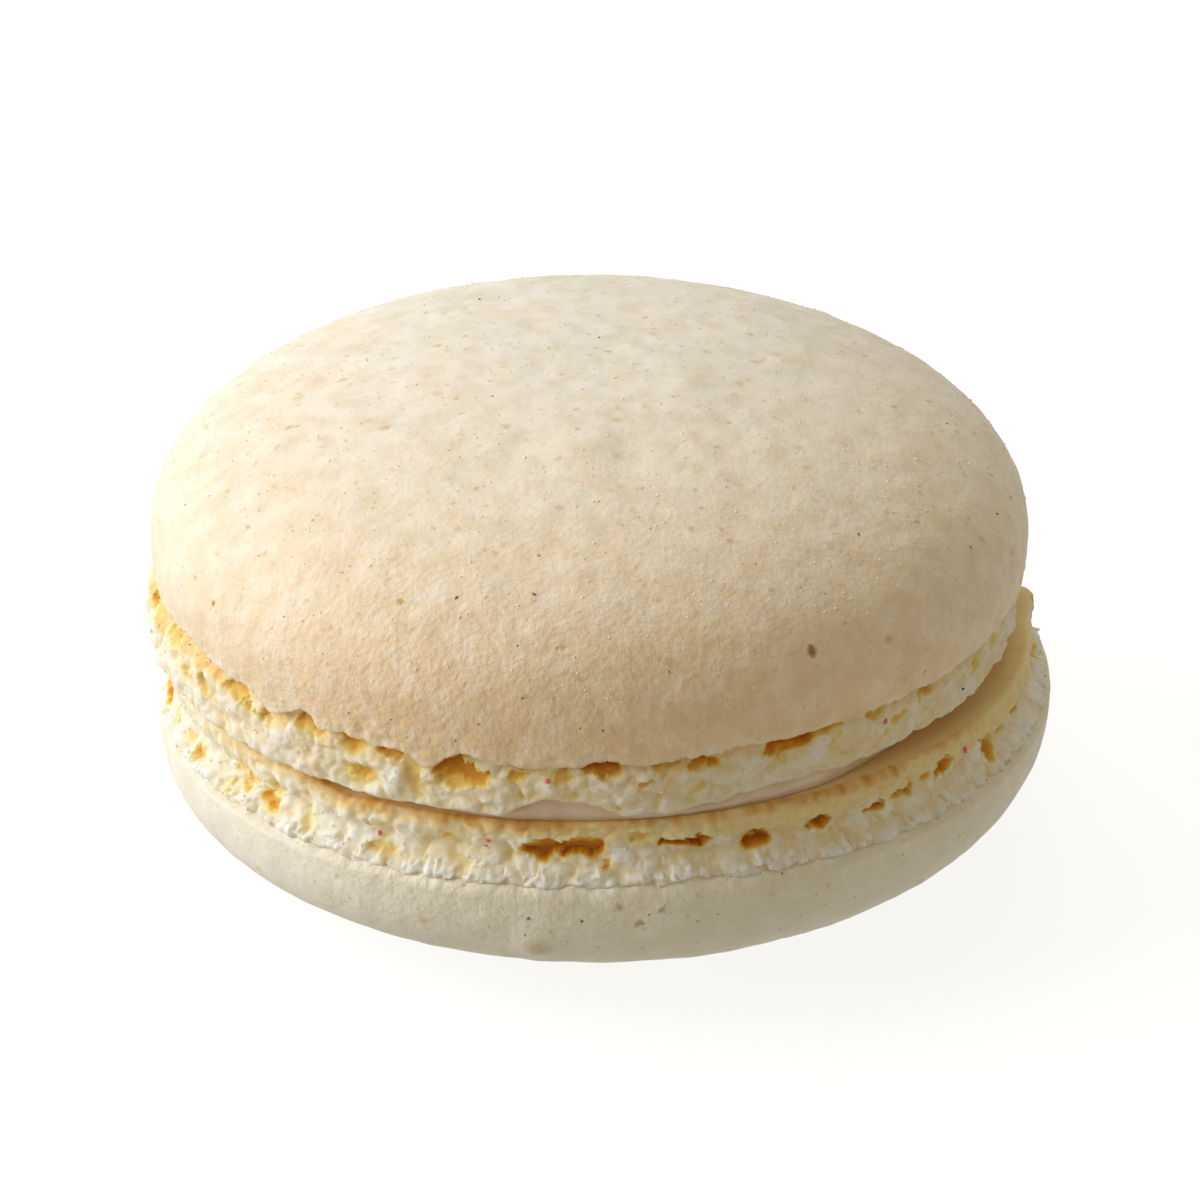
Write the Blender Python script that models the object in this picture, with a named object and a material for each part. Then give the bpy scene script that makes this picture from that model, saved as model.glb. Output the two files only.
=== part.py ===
"""Vanilla macaron: two baked almond meringue shells with ruffled feet and a thin layer of filling.

Metres, +Z up. The origin is on the surface the macaron rests on, under its middle, and the front faces -Y.
Sizes below are in millimetres. An angle round the macaron, called turn, is 0 at the front and grows
towards +X, so +X is at 90 degrees and the left side at -90.
"""

import math

import bmesh
import bpy
import numpy as np

MM = 0.001

# The upper shell: a crown like a cushion over a foot that spread while it baked
TOP_SHIFT_X = -0.55
TOP_CROWN_RADIUS = 22.46
TOP_CROWN_HEIGHT = 8.59
TOP_CROWN_ROUNDNESS = 2.17
TOP_EQUATOR = 17.05
TOP_LIP_RADIUS = 22.35
TOP_LIP_HEIGHT = 15.35
TOP_FOOT_RADIUS = 21.95
TOP_FOOT_EDGE = 12.5
TOP_BASE_MIDDLE = 12.9

# The lower shell lies crown down, and its foot meets the filling
BOTTOM_SHIFT_X = 0.28
BOTTOM_LEAN = 0.5
BOTTOM_CROWN_RADIUS = 23.06
BOTTOM_CROWN_ROUNDNESS = 2.68
BOTTOM_EQUATOR = 7.64
BOTTOM_EQUATOR_SLOPE = 0.02
BOTTOM_LIP_RADIUS = 22.4
BOTTOM_LIP_RISE = 0.26
BOTTOM_FOOT_RADIUS = 22.0
BOTTOM_FOOT_EDGE = 11.25
BOTTOM_EDGE_WAVE = 0.5
BOTTOM_EDGE_WAVE_TURN = 28
BOTTOM_BASE_MIDDLE = 10.6
RESTING_SPOT_RADIUS = 7.2

# How the lips and edges rise or hang, and where a foot bulges: a few bells round the shell, each with its
# centre and half width in degrees, its power and its height
TOP_LIP_SHAPES = (
    (-19, 34, 4, -0.62),
    (-45, 2.2, 2, -0.45),
    (-39, 2.2, 2, 0.4),
    (-21, 2.4, 2, -0.7),
    (-15.5, 2.8, 2, 0.4),
    (1.2, 3.0, 2, 0.25),
)
TOP_EDGE_SHAPES = (
    (-70, 55, 8, -1.1),
    (0, 19, 6, -0.45),
    (-3.5, 5.8, 4, 0.8),
)
TOP_BULGE_SHAPES = ((-88, 30, 2, 0.75),)
BOTTOM_LIP_SHAPES = (
    (0, 45, 2, 0.35),
    (180, 60, 2, 0.15),
)
BOTTOM_BULGE_SHAPES = ((-92, 28, 2, 0.8),)

# The crease under each lip, the lip's own ragged edge and the crags of the foot
CREASE_DEPTH = 0.7
LIP_THICKNESS = 0.3
RAG_OUT = 0.12
RAG_UP = 0.22
RAG_STEPS = 112
CRAG_OUT = 0.34
CRAG_STEPS = (84, 4)
FOOT_FULL_AT = 0.34
BULGE_FULL_AT = 0.7
HOLLOW_SOFTNESS = 0.25
BASE_CORNER = 0.8

# The filling stops short of the feet, and every piece keeps this much from the next
CLEARANCE = 0.3
FILLING_SETBACK = 0.9
FILLING_SETBACK_SHAPES = ((85, 50, 4, 1.4),)
FILLING_BULGE = 0.25
LEAST_FILLING = 0.3

# Columns round each shell where the ruffled foot is, and round the smooth crown
FOOT_COLUMNS = 168
CROWN_COLUMNS = FOOT_COLUMNS // 2

# Hollows that the steam left in the feet: (turn in degrees, width, height, depth, share of the foot's
# height above its crease). The first ones are those seen at the front.
TOP_HOLLOWS = (
    (-88, 2.2, 1.0, 0.7, 0.35),
    (-69, 2.0, 0.9, 0.7, 0.3),
    (-52, 3.0, 0.9, 1.0, 0.15),
    (-42, 1.8, 0.8, 0.9, 0.15),
    (-33, 1.9, 1.1, 0.9, 0.5),
    (-27, 1.4, 0.7, 1.0, 0.1),
    (-16, 2.0, 1.0, 1.5, 0.25),
    (1, 2.6, 0.8, 1.2, 0.15),
    (8, 1.2, 0.8, 0.6, 0.5),
    (16, 1.4, 0.7, 1.0, 0.2),
    (30, 3.8, 0.8, 1.3, 0.1),
    (53, 2.2, 0.9, 0.8, 0.3),
    (66, 1.8, 0.9, 0.7, 0.35),
    (74, 1.9, 0.9, 0.7, 0.3),
)
BOTTOM_HOLLOWS = (
    (-84, 2.0, 0.9, 0.7, 0.5),
    (-68, 1.9, 0.9, 0.8, 0.3),
    (-49, 2.0, 0.9, 1.1, 0.35),
    (-20, 1.5, 0.6, 0.6, 0.6),
    (-6, 4.4, 1.0, 1.6, 0.58),
    (10, 3.0, 0.7, 1.2, 0.64),
    (20, 2.2, 0.9, 1.3, 0.5),
    (29, 1.7, 0.7, 1.2, 0.56),
    (40, 2.6, 0.8, 1.1, 0.55),
    (50.5, 2.0, 1.1, 1.1, 0.66),
    (73, 2.1, 1.0, 0.9, 0.5),
)
HOLLOWS_BEHIND = 14

# Soft lumps on the crown: (x, y, radius, height)
CROWN_LUMPS = (
    (-2.3, -7.9, 2.4, 0.3),
    (0.5, -9.8, 1.3, -0.16),
    (3.1, -1.2, 2.6, 0.22),
    (-6.0, 3.5, 3.5, 0.12),
)

# A drip that stands off the lower shell's rim at the right
DRIP_TURN = 98
DRIP_WIDTH = 1.3
DRIP_OUT = 0.5
DRIP_UP = 0.45

SEED = 41


def clear_scene():
    for thing in list(bpy.data.objects):
        bpy.data.objects.remove(thing, do_unlink=True)


def baked_material(name, colour, roughness):
    """A plain finish for one piece, from a linear colour."""
    material = bpy.data.materials.new(name)
    material.use_nodes = True
    shader = material.node_tree.nodes["Principled BSDF"]
    shader.inputs["Base Color"].default_value = (*colour, 1.0)
    shader.inputs["Roughness"].default_value = roughness
    shader.inputs["Metallic"].default_value = 0.0
    return material


def turns(columns):
    """The angles of a ring's columns, in degrees, from behind round to behind again."""
    return np.arange(columns) * 360.0 / columns - 180.0


def apart(turn, centre):
    """How far each angle is from the centre angle, in degrees, the short way round."""
    return (turn - centre + 180.0) % 360.0 - 180.0


def swell(turn, centre, half_width, power=2):
    """A bell round one angle: 1 at its centre, fading to 0 past its half width."""
    return np.exp(-np.abs(apart(turn, centre) / half_width) ** power)


def bells(turn, shapes):
    """The sum of the bells in a table, each with its centre, half width, power and height."""
    return sum(height * swell(turn, *bell) for *bell, height in shapes)


def grid_noise(seed, around, up):
    """A smooth random function of angle and of height from 0 to 1, between -1 and 1.

    Random values stand on a grid that closes round the shell, and cosines blend them between its points.
    """
    values = np.random.default_rng(seed).uniform(-1.0, 1.0, (up + 1, around))

    def sample(turn, height):
        across = (turn / 360.0 % 1.0) * around
        along = np.clip(height, 0.0, 1.0) * up
        left = np.floor(across).astype(int) % around
        low = np.minimum(np.floor(along).astype(int), up - 1)
        blend_across = 0.5 - 0.5 * np.cos(math.pi * (across % 1.0))
        blend_along = 0.5 - 0.5 * np.cos(math.pi * (along - low))
        right = (left + 1) % around
        lower = values[low, left] * (1 - blend_across) + values[low, right] * blend_across
        upper = values[low + 1, left] * (1 - blend_across) + values[low + 1, right] * blend_across
        return lower * (1 - blend_along) + upper * blend_along

    return sample


def hollow_depth(turn, share, foot_height, hollows):
    """How deep the steam hollows cut at these places of the foot: round pits, each with its own size."""
    depth = np.zeros_like(turn)
    for centre, width, height, deep, up in hollows:
        across = apart(turn, centre) * math.radians(TOP_FOOT_RADIUS) / (width / 2)
        along = (share - up) * foot_height / (height / 2 + HOLLOW_SOFTNESS)
        depth = np.maximum(depth, deep * np.exp(-(across**4) - along**2))
    return depth


def behind_hollows(seed):
    """Hollows for the side away from the front, drawn at random with the same range of sizes."""
    draw = np.random.default_rng(seed)
    step = 180.0 / HOLLOWS_BEHIND
    return tuple(
        (
            90.0 + step * (i + draw.uniform(0.2, 0.8)),
            draw.uniform(1.4, 3.4),
            draw.uniform(0.7, 1.0),
            draw.uniform(0.6, 1.4),
            draw.uniform(0.15, 0.4),
        )
        for i in range(HOLLOWS_BEHIND)
    )


def ring(columns, radius, height, shift_x):
    """A ring of points with a radius and a height that may vary from column to column."""
    angle = np.radians(turns(columns))
    radius = np.broadcast_to(radius, columns)
    height = np.broadcast_to(height, columns)
    return np.stack([shift_x + radius * np.sin(angle), -radius * np.cos(angle), height], axis=1)


def crown_drop(share, roundness):
    """How far a crown has fallen from its top, as a share of its height, at this share of its radius."""
    return 1.0 - (1.0 - share**roundness) ** (1.0 / roundness)


def crown_lumps(points):
    """The lift of the crown's soft lumps at these points."""
    lift = np.zeros(len(points))
    for x, y, radius, height in CROWN_LUMPS:
        away = np.hypot(points[:, 0] - x, points[:, 1] - y)
        lift += height * np.exp(-((away / radius) ** 2))
    return lift


def foot_rows(lip_radius, lip_height, edge_height, foot_radius, bulge, hollows, seed, shift_x):
    """The rows from the crease behind the lip to the foot's edge, with crags and hollows.

    The crease lies a lip's thickness back towards the crown. From it the foot swells to its full radius
    within a third of its height and runs on to its edge, and a bulge grows along a quarter of a sine wave.
    A row's points move in and out by the crags and the hollows, which both fade at the foot's ends.
    """
    turn = turns(FOOT_COLUMNS)
    crags = grid_noise(seed, *CRAG_STEPS)
    height = edge_height - lip_height
    crease = lip_radius - CREASE_DEPTH
    crease_height = lip_height - LIP_THICKNESS * np.sign(height)
    rows = [ring(FOOT_COLUMNS, crease, crease_height, shift_x)]
    for share in (0.06, 0.18, 0.34, 0.52, 0.7, 0.87, 1.0):
        full = math.sin(min(share / FOOT_FULL_AT, 1.0) * math.pi / 2)
        swollen = math.sin(min(share / BULGE_FULL_AT, 1.0) * math.pi / 2)
        fade = min(share / 0.1, (1.0 - share) / 0.1, 1.0) * 0.8 + 0.2
        depth = hollow_depth(turn, np.full(FOOT_COLUMNS, share), np.abs(height), hollows)
        radius = crease + (foot_radius - crease) * full + bulge * swollen
        radius = radius + fade * (CRAG_OUT * crags(turn, share) - depth)
        rows.append(ring(FOOT_COLUMNS, radius, lip_height + height * share, shift_x))
    return rows


def base_rows(edge_row, foot_radius, edge_height, middle_height, shift_x):
    """The flat baked base, from just inside the foot's edge to its middle, very slightly dished."""
    turn = turns(FOOT_COLUMNS)
    inner = np.hypot(edge_row[:, 0] - shift_x, edge_row[:, 1]) - BASE_CORNER
    height = base_height(inner, turn, foot_radius, edge_height, middle_height)
    rows = [ring(FOOT_COLUMNS, inner, height, shift_x)]
    for columns, share in ((CROWN_COLUMNS, 0.86), (CROWN_COLUMNS // 2, 0.55), (CROWN_COLUMNS // 4, 0.25)):
        radius = foot_radius * share
        height = base_height(radius, turns(columns), foot_radius, edge_height, middle_height)
        rows.append(ring(columns, radius, height, shift_x))
    rows.append(np.array([[shift_x, 0.0, middle_height]]))
    return rows


def base_height(radius, turn, foot_radius, edge_height, middle_height):
    """Height of a shell's base: level at its middle, and rising or falling to the foot's edge as a cube."""
    return middle_height + (edge_height(turn) - middle_height) * np.minimum(radius / foot_radius, 1.0) ** 3


def top_edge(turn):
    """Height of the upper foot's edge: it hangs lower at the left, and lifts in a notch at the front."""
    return TOP_FOOT_EDGE + bells(turn, TOP_EDGE_SHAPES)


def bottom_edge(turn):
    """Height of the lower foot's edge, a gentle wave round the shell."""
    wave = np.cos(np.radians(2 * (turn - BOTTOM_EDGE_WAVE_TURN)))
    return BOTTOM_FOOT_EDGE + BOTTOM_EDGE_WAVE * wave


def top_shell_rows():
    """Rows of the upper shell, from the top of its crown down to the middle of its base."""
    turn = turns(FOOT_COLUMNS)
    rag = grid_noise(SEED + 1, RAG_STEPS, 1)
    rows = [np.array([[TOP_SHIFT_X, 0.0, TOP_EQUATOR + TOP_CROWN_HEIGHT]])]
    steps = (8, 16, 25, 34, 43, 53, 63, 72, 80, 86)
    columns = [CROWN_COLUMNS // 4, CROWN_COLUMNS // 2] + [CROWN_COLUMNS] * 8
    for step, count in zip(steps, columns):
        share = math.sin(math.radians(step))
        height = TOP_EQUATOR + TOP_CROWN_HEIGHT * (1 - crown_drop(share, TOP_CROWN_ROUNDNESS))
        rows.append(ring(count, TOP_CROWN_RADIUS * share, height, TOP_SHIFT_X))
    for row in rows:
        row[:, 2] += crown_lumps(row)
    rows.append(ring(FOOT_COLUMNS, TOP_CROWN_RADIUS, TOP_EQUATOR, TOP_SHIFT_X))
    lip_height = TOP_LIP_HEIGHT + bells(turn, TOP_LIP_SHAPES) + RAG_UP * rag(turn, 0.0)
    lip_radius = TOP_LIP_RADIUS + RAG_OUT * rag(turn, 1.0)
    half_radius = (TOP_CROWN_RADIUS + lip_radius) / 2
    rows.append(ring(FOOT_COLUMNS, half_radius, (TOP_EQUATOR + lip_height) / 2, TOP_SHIFT_X))
    rows.append(ring(FOOT_COLUMNS, lip_radius, lip_height, TOP_SHIFT_X))
    bulge = bells(turn, TOP_BULGE_SHAPES)
    hollows = TOP_HOLLOWS + behind_hollows(SEED + 2)
    foot = foot_rows(
        lip_radius, lip_height, top_edge(turn), TOP_FOOT_RADIUS, bulge, hollows, SEED + 3, TOP_SHIFT_X
    )
    base = base_rows(foot[-1], TOP_FOOT_RADIUS, top_edge, TOP_BASE_MIDDLE, TOP_SHIFT_X)
    return rows + foot + base


def bottom_shell_rows():
    """Rows of the lower shell, from its flat resting spot up to the middle of its base."""
    turn = turns(FOOT_COLUMNS)
    rag = grid_noise(SEED + 5, RAG_STEPS, 1)
    spot_x = BOTTOM_SHIFT_X - BOTTOM_LEAN
    rows = [np.array([[spot_x, 0.0, 0.0]])]
    rows.append(ring(CROWN_COLUMNS // 4, RESTING_SPOT_RADIUS * 0.5, 0.0, spot_x))
    rows.append(ring(CROWN_COLUMNS // 2, RESTING_SPOT_RADIUS, 0.0, spot_x))
    spot = crown_drop(RESTING_SPOT_RADIUS / BOTTOM_CROWN_RADIUS, BOTTOM_CROWN_ROUNDNESS)
    for step in (26, 35, 45, 55, 64, 72, 80, 86, 90):
        share = math.sin(math.radians(step))
        columns = FOOT_COLUMNS if step == 90 else CROWN_COLUMNS
        rise = (crown_drop(share, BOTTOM_CROWN_ROUNDNESS) - spot) / (1 - spot)
        radius = BOTTOM_CROWN_RADIUS * share
        equator = BOTTOM_EQUATOR + BOTTOM_EQUATOR_SLOPE * radius * np.sin(np.radians(turns(columns)))
        rows.append(ring(columns, radius, equator * rise, BOTTOM_SHIFT_X - BOTTOM_LEAN * (1 - rise)))
    equator = rows[-1][:, 2]
    rise = BOTTOM_LIP_RISE + bells(turn, BOTTOM_LIP_SHAPES) + RAG_UP * rag(turn, 0.0)
    lip_radius = BOTTOM_LIP_RADIUS + RAG_OUT * rag(turn, 1.0)
    over = math.sin(math.pi / 4)
    shoulder = lip_radius + (BOTTOM_CROWN_RADIUS - lip_radius) * over
    rows.append(ring(FOOT_COLUMNS, shoulder, equator + rise * over, BOTTOM_SHIFT_X))
    lip_height = equator + rise
    rows.append(ring(FOOT_COLUMNS, lip_radius, lip_height, BOTTOM_SHIFT_X))
    drip = DRIP_WIDTH * math.degrees(1 / BOTTOM_FOOT_RADIUS)
    foot_radius = BOTTOM_FOOT_RADIUS + DRIP_OUT * swell(turn, DRIP_TURN, drip)
    edge = bottom_edge(turn) + DRIP_UP * swell(turn, DRIP_TURN, drip)
    hollows = BOTTOM_HOLLOWS + behind_hollows(SEED + 6)
    bulge = bells(turn, BOTTOM_BULGE_SHAPES)
    foot = foot_rows(lip_radius, lip_height, edge, foot_radius, bulge, hollows, SEED + 7, BOTTOM_SHIFT_X)
    base = base_rows(foot[-1], BOTTOM_FOOT_RADIUS, bottom_edge, BOTTOM_BASE_MIDDLE, BOTTOM_SHIFT_X)
    return rows + foot + base


def filling_rows():
    """Rows of the filling: both its faces follow the shells' bases, and its rim bulges a little."""

    def space(radius, turn):
        """Lowest and highest height that the filling may have at a place."""
        low = base_height(radius, turn, BOTTOM_FOOT_RADIUS, bottom_edge, BOTTOM_BASE_MIDDLE)
        high = base_height(radius, turn, TOP_FOOT_RADIUS, top_edge, TOP_BASE_MIDDLE)
        return low + CLEARANCE, high - CLEARANCE

    def rim(turn):
        """The filling's radius: set back from the feet, more at the right and where the gap is narrow."""
        open_width = TOP_BASE_MIDDLE - BOTTOM_BASE_MIDDLE
        gap = top_edge(turn) - bottom_edge(turn)
        least = 2 * CLEARANCE + LEAST_FILLING
        share = np.minimum((open_width - least) / np.maximum(open_width - gap, 0.1), 1.0) ** (1 / 3)
        setback = FILLING_SETBACK + bells(turn, FILLING_SETBACK_SHAPES)
        return np.minimum(TOP_FOOT_RADIUS * share, TOP_FOOT_RADIUS - setback)

    lower, upper = [], []
    for columns, share in ((CROWN_COLUMNS // 4, 0.3), (CROWN_COLUMNS // 2, 0.65), (CROWN_COLUMNS, 0.9)):
        turn = turns(columns)
        radius = rim(turn) * share
        low, high = space(radius, turn)
        lower.append(ring(columns, radius, low, 0.0))
        upper.append(ring(columns, radius, high, 0.0))
    turn = turns(CROWN_COLUMNS)
    low, high = space(rim(turn), turn)
    edge = [
        ring(CROWN_COLUMNS, rim(turn), low, 0.0),
        ring(CROWN_COLUMNS, rim(turn) + FILLING_BULGE, (low + high) / 2, 0.0),
        ring(CROWN_COLUMNS, rim(turn), high, 0.0),
    ]
    middle = space(0.0, np.zeros(1))
    poles = [np.array([[0.0, 0.0, float(height[0])]]) for height in middle]
    return [poles[0], *lower, *edge, *reversed(upper), poles[1]]


def skin(mesh, rows):
    """Joins each row of points to the next. A row may have twice or half the columns of its neighbour."""
    loops = [[mesh.verts.new(tuple(float(v) * MM for v in point)) for point in row] for row in rows]
    for first, second in zip(loops, loops[1:]):
        few, many = sorted((first, second), key=len)
        n, ratio = len(few), len(many) // len(few)
        if n == 1:
            for i in range(len(many)):
                mesh.faces.new((few[0], many[i], many[(i + 1) % len(many)]))
            continue
        for i in range(n):
            here, there = few[i], few[(i + 1) % n]
            if ratio == 1:
                mesh.faces.new((here, many[i], there))
                mesh.faces.new((there, many[i], many[(i + 1) % n]))
                continue
            start, middle, end = many[2 * i], many[2 * i + 1], many[(2 * i + 2) % len(many)]
            mesh.faces.new((here, start, middle))
            mesh.faces.new((here, middle, there))
            mesh.faces.new((there, middle, end))
    bmesh.ops.recalc_face_normals(mesh, faces=mesh.faces)


def build_piece(name, rows, material):
    """One closed solid from its rows, as an object at the origin."""
    mesh = bmesh.new()
    skin(mesh, rows)
    data = bpy.data.meshes.new(name)
    mesh.to_mesh(data)
    mesh.free()
    data.shade_smooth()
    data.set_sharp_from_angle(angle=math.radians(50))
    data.materials.append(material)
    piece = bpy.data.objects.new(name, data)
    bpy.context.scene.collection.objects.link(piece)
    return piece


def main():
    clear_scene()
    crust = baked_material("baked_shell", (0.78, 0.67, 0.50), 0.75)
    crust_below = baked_material("baked_shell_lower", (0.74, 0.70, 0.55), 0.75)
    cream = baked_material("vanilla_cream", (0.62, 0.48, 0.38), 0.5)
    build_piece("top_shell", top_shell_rows(), crust)
    build_piece("filling", filling_rows(), cream)
    build_piece("bottom_shell", bottom_shell_rows(), crust_below)


main()
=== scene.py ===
"""Looks of a vanilla macaron: two baked almond meringue shells with torn feet round a thin layer of cream.

Sizes are in millimetres, and go into the meshes in metres. A turn is an angle round the macaron in degrees,
0 at the front (-Y) and 90 at the right (+X).
"""

import math

import bmesh
import bpy
import numpy as np
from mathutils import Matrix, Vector


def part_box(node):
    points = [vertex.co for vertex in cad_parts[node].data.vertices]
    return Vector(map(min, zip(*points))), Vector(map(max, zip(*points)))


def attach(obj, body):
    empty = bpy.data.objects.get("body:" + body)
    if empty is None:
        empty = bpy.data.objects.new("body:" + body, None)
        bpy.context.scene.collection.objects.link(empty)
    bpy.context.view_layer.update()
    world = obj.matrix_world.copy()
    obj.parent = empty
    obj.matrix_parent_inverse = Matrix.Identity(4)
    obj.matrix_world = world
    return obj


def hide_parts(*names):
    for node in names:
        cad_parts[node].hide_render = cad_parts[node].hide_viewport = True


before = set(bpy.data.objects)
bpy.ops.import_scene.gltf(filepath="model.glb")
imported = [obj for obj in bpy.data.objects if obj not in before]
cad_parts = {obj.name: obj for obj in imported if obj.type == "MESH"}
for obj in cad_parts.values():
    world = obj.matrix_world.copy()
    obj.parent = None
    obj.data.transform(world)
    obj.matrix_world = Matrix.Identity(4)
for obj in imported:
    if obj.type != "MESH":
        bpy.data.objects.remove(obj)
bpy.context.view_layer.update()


# The lower crown: the smooth dome that the macaron lies on, crown down. It is ground almond and egg white
# beaten to a foam, piped as a round and left to dry, so it baked with a thin matt skin, finely grained and
# dotted with pinholes. Its rim rolls over a soft shoulder to where the foot tore away from it.
MM = 0.001
BODY = "root"
lower_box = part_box("bottom_shell")
LOWER_RADIUS = (lower_box[1].y - lower_box[0].y) / 2 / MM
LOWER_SHIFT = 0.28
LOWER_LEAN = 0.5
LOWER_ROUNDNESS = 2.68
LOWER_EQUATOR = 7.64
LOWER_SLOPE = 0.02
LOWER_LIP_RADIUS = 22.42
LOWER_LIP_RISE = 0.26
# The flat spot under the crown that it rests on
RESTING_RADIUS = 7.2
# The steps over which the length of a crown's curve is summed, and the lower crown's mesh cell
CURVE_STEPS = 4001
LOWER_CELL = 0.24
# The shoulder's rings over the widest one, as angles of their quarter ellipse
SHOULDER_ANGLES = np.linspace(8, 90, 12)
FEWEST_COLUMNS = 24
CROWN_COLUMNS = 768
FOOT_COLUMNS = 2 * CROWN_COLUMNS
# Faces that meet at more than this angle get a sharp edge
SHARP_ANGLE = 65
SKIN_PATCH_WIDTH = 6.0
SKIN_MOTTLE_WIDTH = 1.5
SKIN_GRAIN_WIDTH = 0.32
SKIN_PIMPLE_WIDTH = 0.62
SKIN_PINHOLE_SPACING = 1.05
SKIN_PINHOLE_RADIUS = 0.08
SKIN_PINHOLES_KEPT = 0.6
# How far noise bends the outline of the flecks and marks
SKIN_BEND = 0.4
# Where each of the skin's three tints lies in the noise that mixes them
SKIN_TINTS_AT = (0.3, 0.5, 0.72)
# How far to either side the browning has faded the most, and where it begins to fade
SKIN_SIDES = (26.0, 15.0)
# The tan and the white mottle: where each begins and is full in the noise, and its strength where the skin
# browned, then the strength of both where it stayed pale
SKIN_TAN_MOTTLE, SKIN_WHITE_MOTTLE = (0.48, 0.75, 0.75), (0.5, 0.3, 0.5)
SKIN_PALE_MOTTLE = 0.45
# How strong the grain and the pinholes are where the skin stayed pale, and where it browned
SKIN_COARSENESS = (0.22, 1.05)
# The height of the grain, which is finer than a render shows as shape
SKIN_RELIEF = 0.08
# Flecks of ground almond, large and rare to small and common: spacing, radius, share kept, strength
SKIN_FLECKS = ((2.3, 0.36, 0.6, 0.6), (1.2, 0.22, 0.7, 0.6), (0.7, 0.13, 0.5, 0.6))
FLECK_COLOURS = ((0.0, "#DEC47C"), (0.3, "#E2D09C"), (0.55, "#DCBC98"), (0.8, "#D0C070"), (0.95, "#CC9C6A"))

# A knob of batter at the front of the lower crown, a dimple beside it and a soft swell: x, y, z, width, lift
LOWER_LUMPS = (
    (-3.2, -22.2, 4.8, 1.0, 0.28),
    (-1.6, -21.6, 4.3, 0.9, -0.1),
    (5.0, -22.0, 5.2, 3.0, 0.1),
)
# The larger marks on the lower crown: tan where the knob browned, and olive pits: place, radius, colour
LOWER_MARKS = (
    ((-3.1, -22.4, 4.9), 0.7, "#E0CAA4"),
    ((-3.53, -22.7, 6.61), 0.14, "#75684E"),
    ((-0.83, -23.0, 6.73), 0.14, "#75684E"),
    ((0.93, -22.93, 7.5), 0.3, "#C4B788"),
    ((3.08, -22.88, 7.3), 0.22, "#CABF96"),
    ((1.96, -22.94, 6.47), 0.24, "#C4B788"),
)

# The lip's rise at the front and the back: centre and half width in degrees, power, height
LOWER_LIP_SHAPES = ((0, 45, 2, 0.35), (8, 18, 2, 0.22), (180, 60, 2, 0.15))


def apart(turn, centre):
    """How far each angle is from the centre angle, in degrees, the short way round."""
    return (turn - centre + 180.0) % 360.0 - 180.0


def swell(turn, centre, half_width, power=2):
    """A bell round one angle: 1 at its centre, fading to 0 past its half width."""
    return np.exp(-np.abs(apart(turn, centre) / half_width) ** power)


def bells(turn, shapes):
    """The sum of the bells in a table, each with its centre, half width, power and height."""
    return sum(height * swell(turn, *shape) for *shape, height in shapes)


def bell(value, centre, half_width):
    """A bell round one value: 1 at its centre, fading to 0 past its half width."""
    return np.exp(-(((value - centre) / half_width) ** 2))


def ramp(value, start, end):
    """0 up to the start, 1 past the end, and an S-shaped rise between them."""
    share = np.clip((value - start) / (end - start), 0.0, 1.0)
    return share * share * (3.0 - 2.0 * share)


def cell_numbers(cell, seed):
    """Three numbers from 0 to 1 for each cell of an endless lattice, always the same for one cell and seed.

    The cell's three whole numbers are multiplied by large primes, mixed bit by bit, and cut into three.
    """
    x, y, z = (cell[..., i].astype(np.uint64) for i in range(3))
    mixed = x * np.uint64(73856093) ^ y * np.uint64(19349663) ^ z * np.uint64(83492791)
    mixed = mixed ^ np.full_like(mixed, seed * 2654435761)
    for shift in (33, 29, 32):
        mixed = (mixed ^ (mixed >> np.uint64(shift))) * np.uint64(0xFF51AFD7ED558CCD)
    bits = np.uint64(0xFFFFF)
    parts = [(mixed >> np.uint64(shift)) & bits for shift in (4, 24, 44)]
    return np.stack(parts, axis=-1) / float(bits)


def soft_noise(points, size, seed):
    """Smooth random relief from -1 to 1, with hills about this size in millimetres.

    Each lattice corner has a random slope, and a quintic curve blends the eight slopes round a point.
    """
    place = points / size
    cell = np.floor(place).astype(np.int64)
    inside = place - cell
    blend = inside**3 * (inside * (inside * 6.0 - 15.0) + 10.0)
    total = np.zeros(points.shape[:-1])
    for corner in np.ndindex(2, 2, 2):
        step = np.array(corner)
        slope = 2.0 * cell_numbers(cell + step, seed) - 1.0
        weight = np.prod(np.where(step == 1, blend, 1.0 - blend), axis=-1)
        total += weight * np.sum(slope * (inside - step), axis=-1)
    return np.clip(total * 1.5, -1.0, 1.0)


def ring(radius, height, turn, shift):
    """Points of a ring: shift + radius x sine of the turn, minus radius x cosine of the turn, height."""
    angle = np.radians(turn)
    across, height = np.broadcast_arrays(radius * np.sin(angle), height)
    return np.stack([shift + across, -radius * np.cos(angle) + 0.0 * height, height], axis=-1)


def column_turns(columns):
    """The turns of a ring's columns."""
    return np.arange(columns) * 360.0 / columns


def crown_drop(share, roundness):
    """How far a crown has fallen from its top, as a share of its height, at this share of its radius."""
    return 1.0 - (1.0 - share**roundness) ** (1.0 / roundness)


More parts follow.
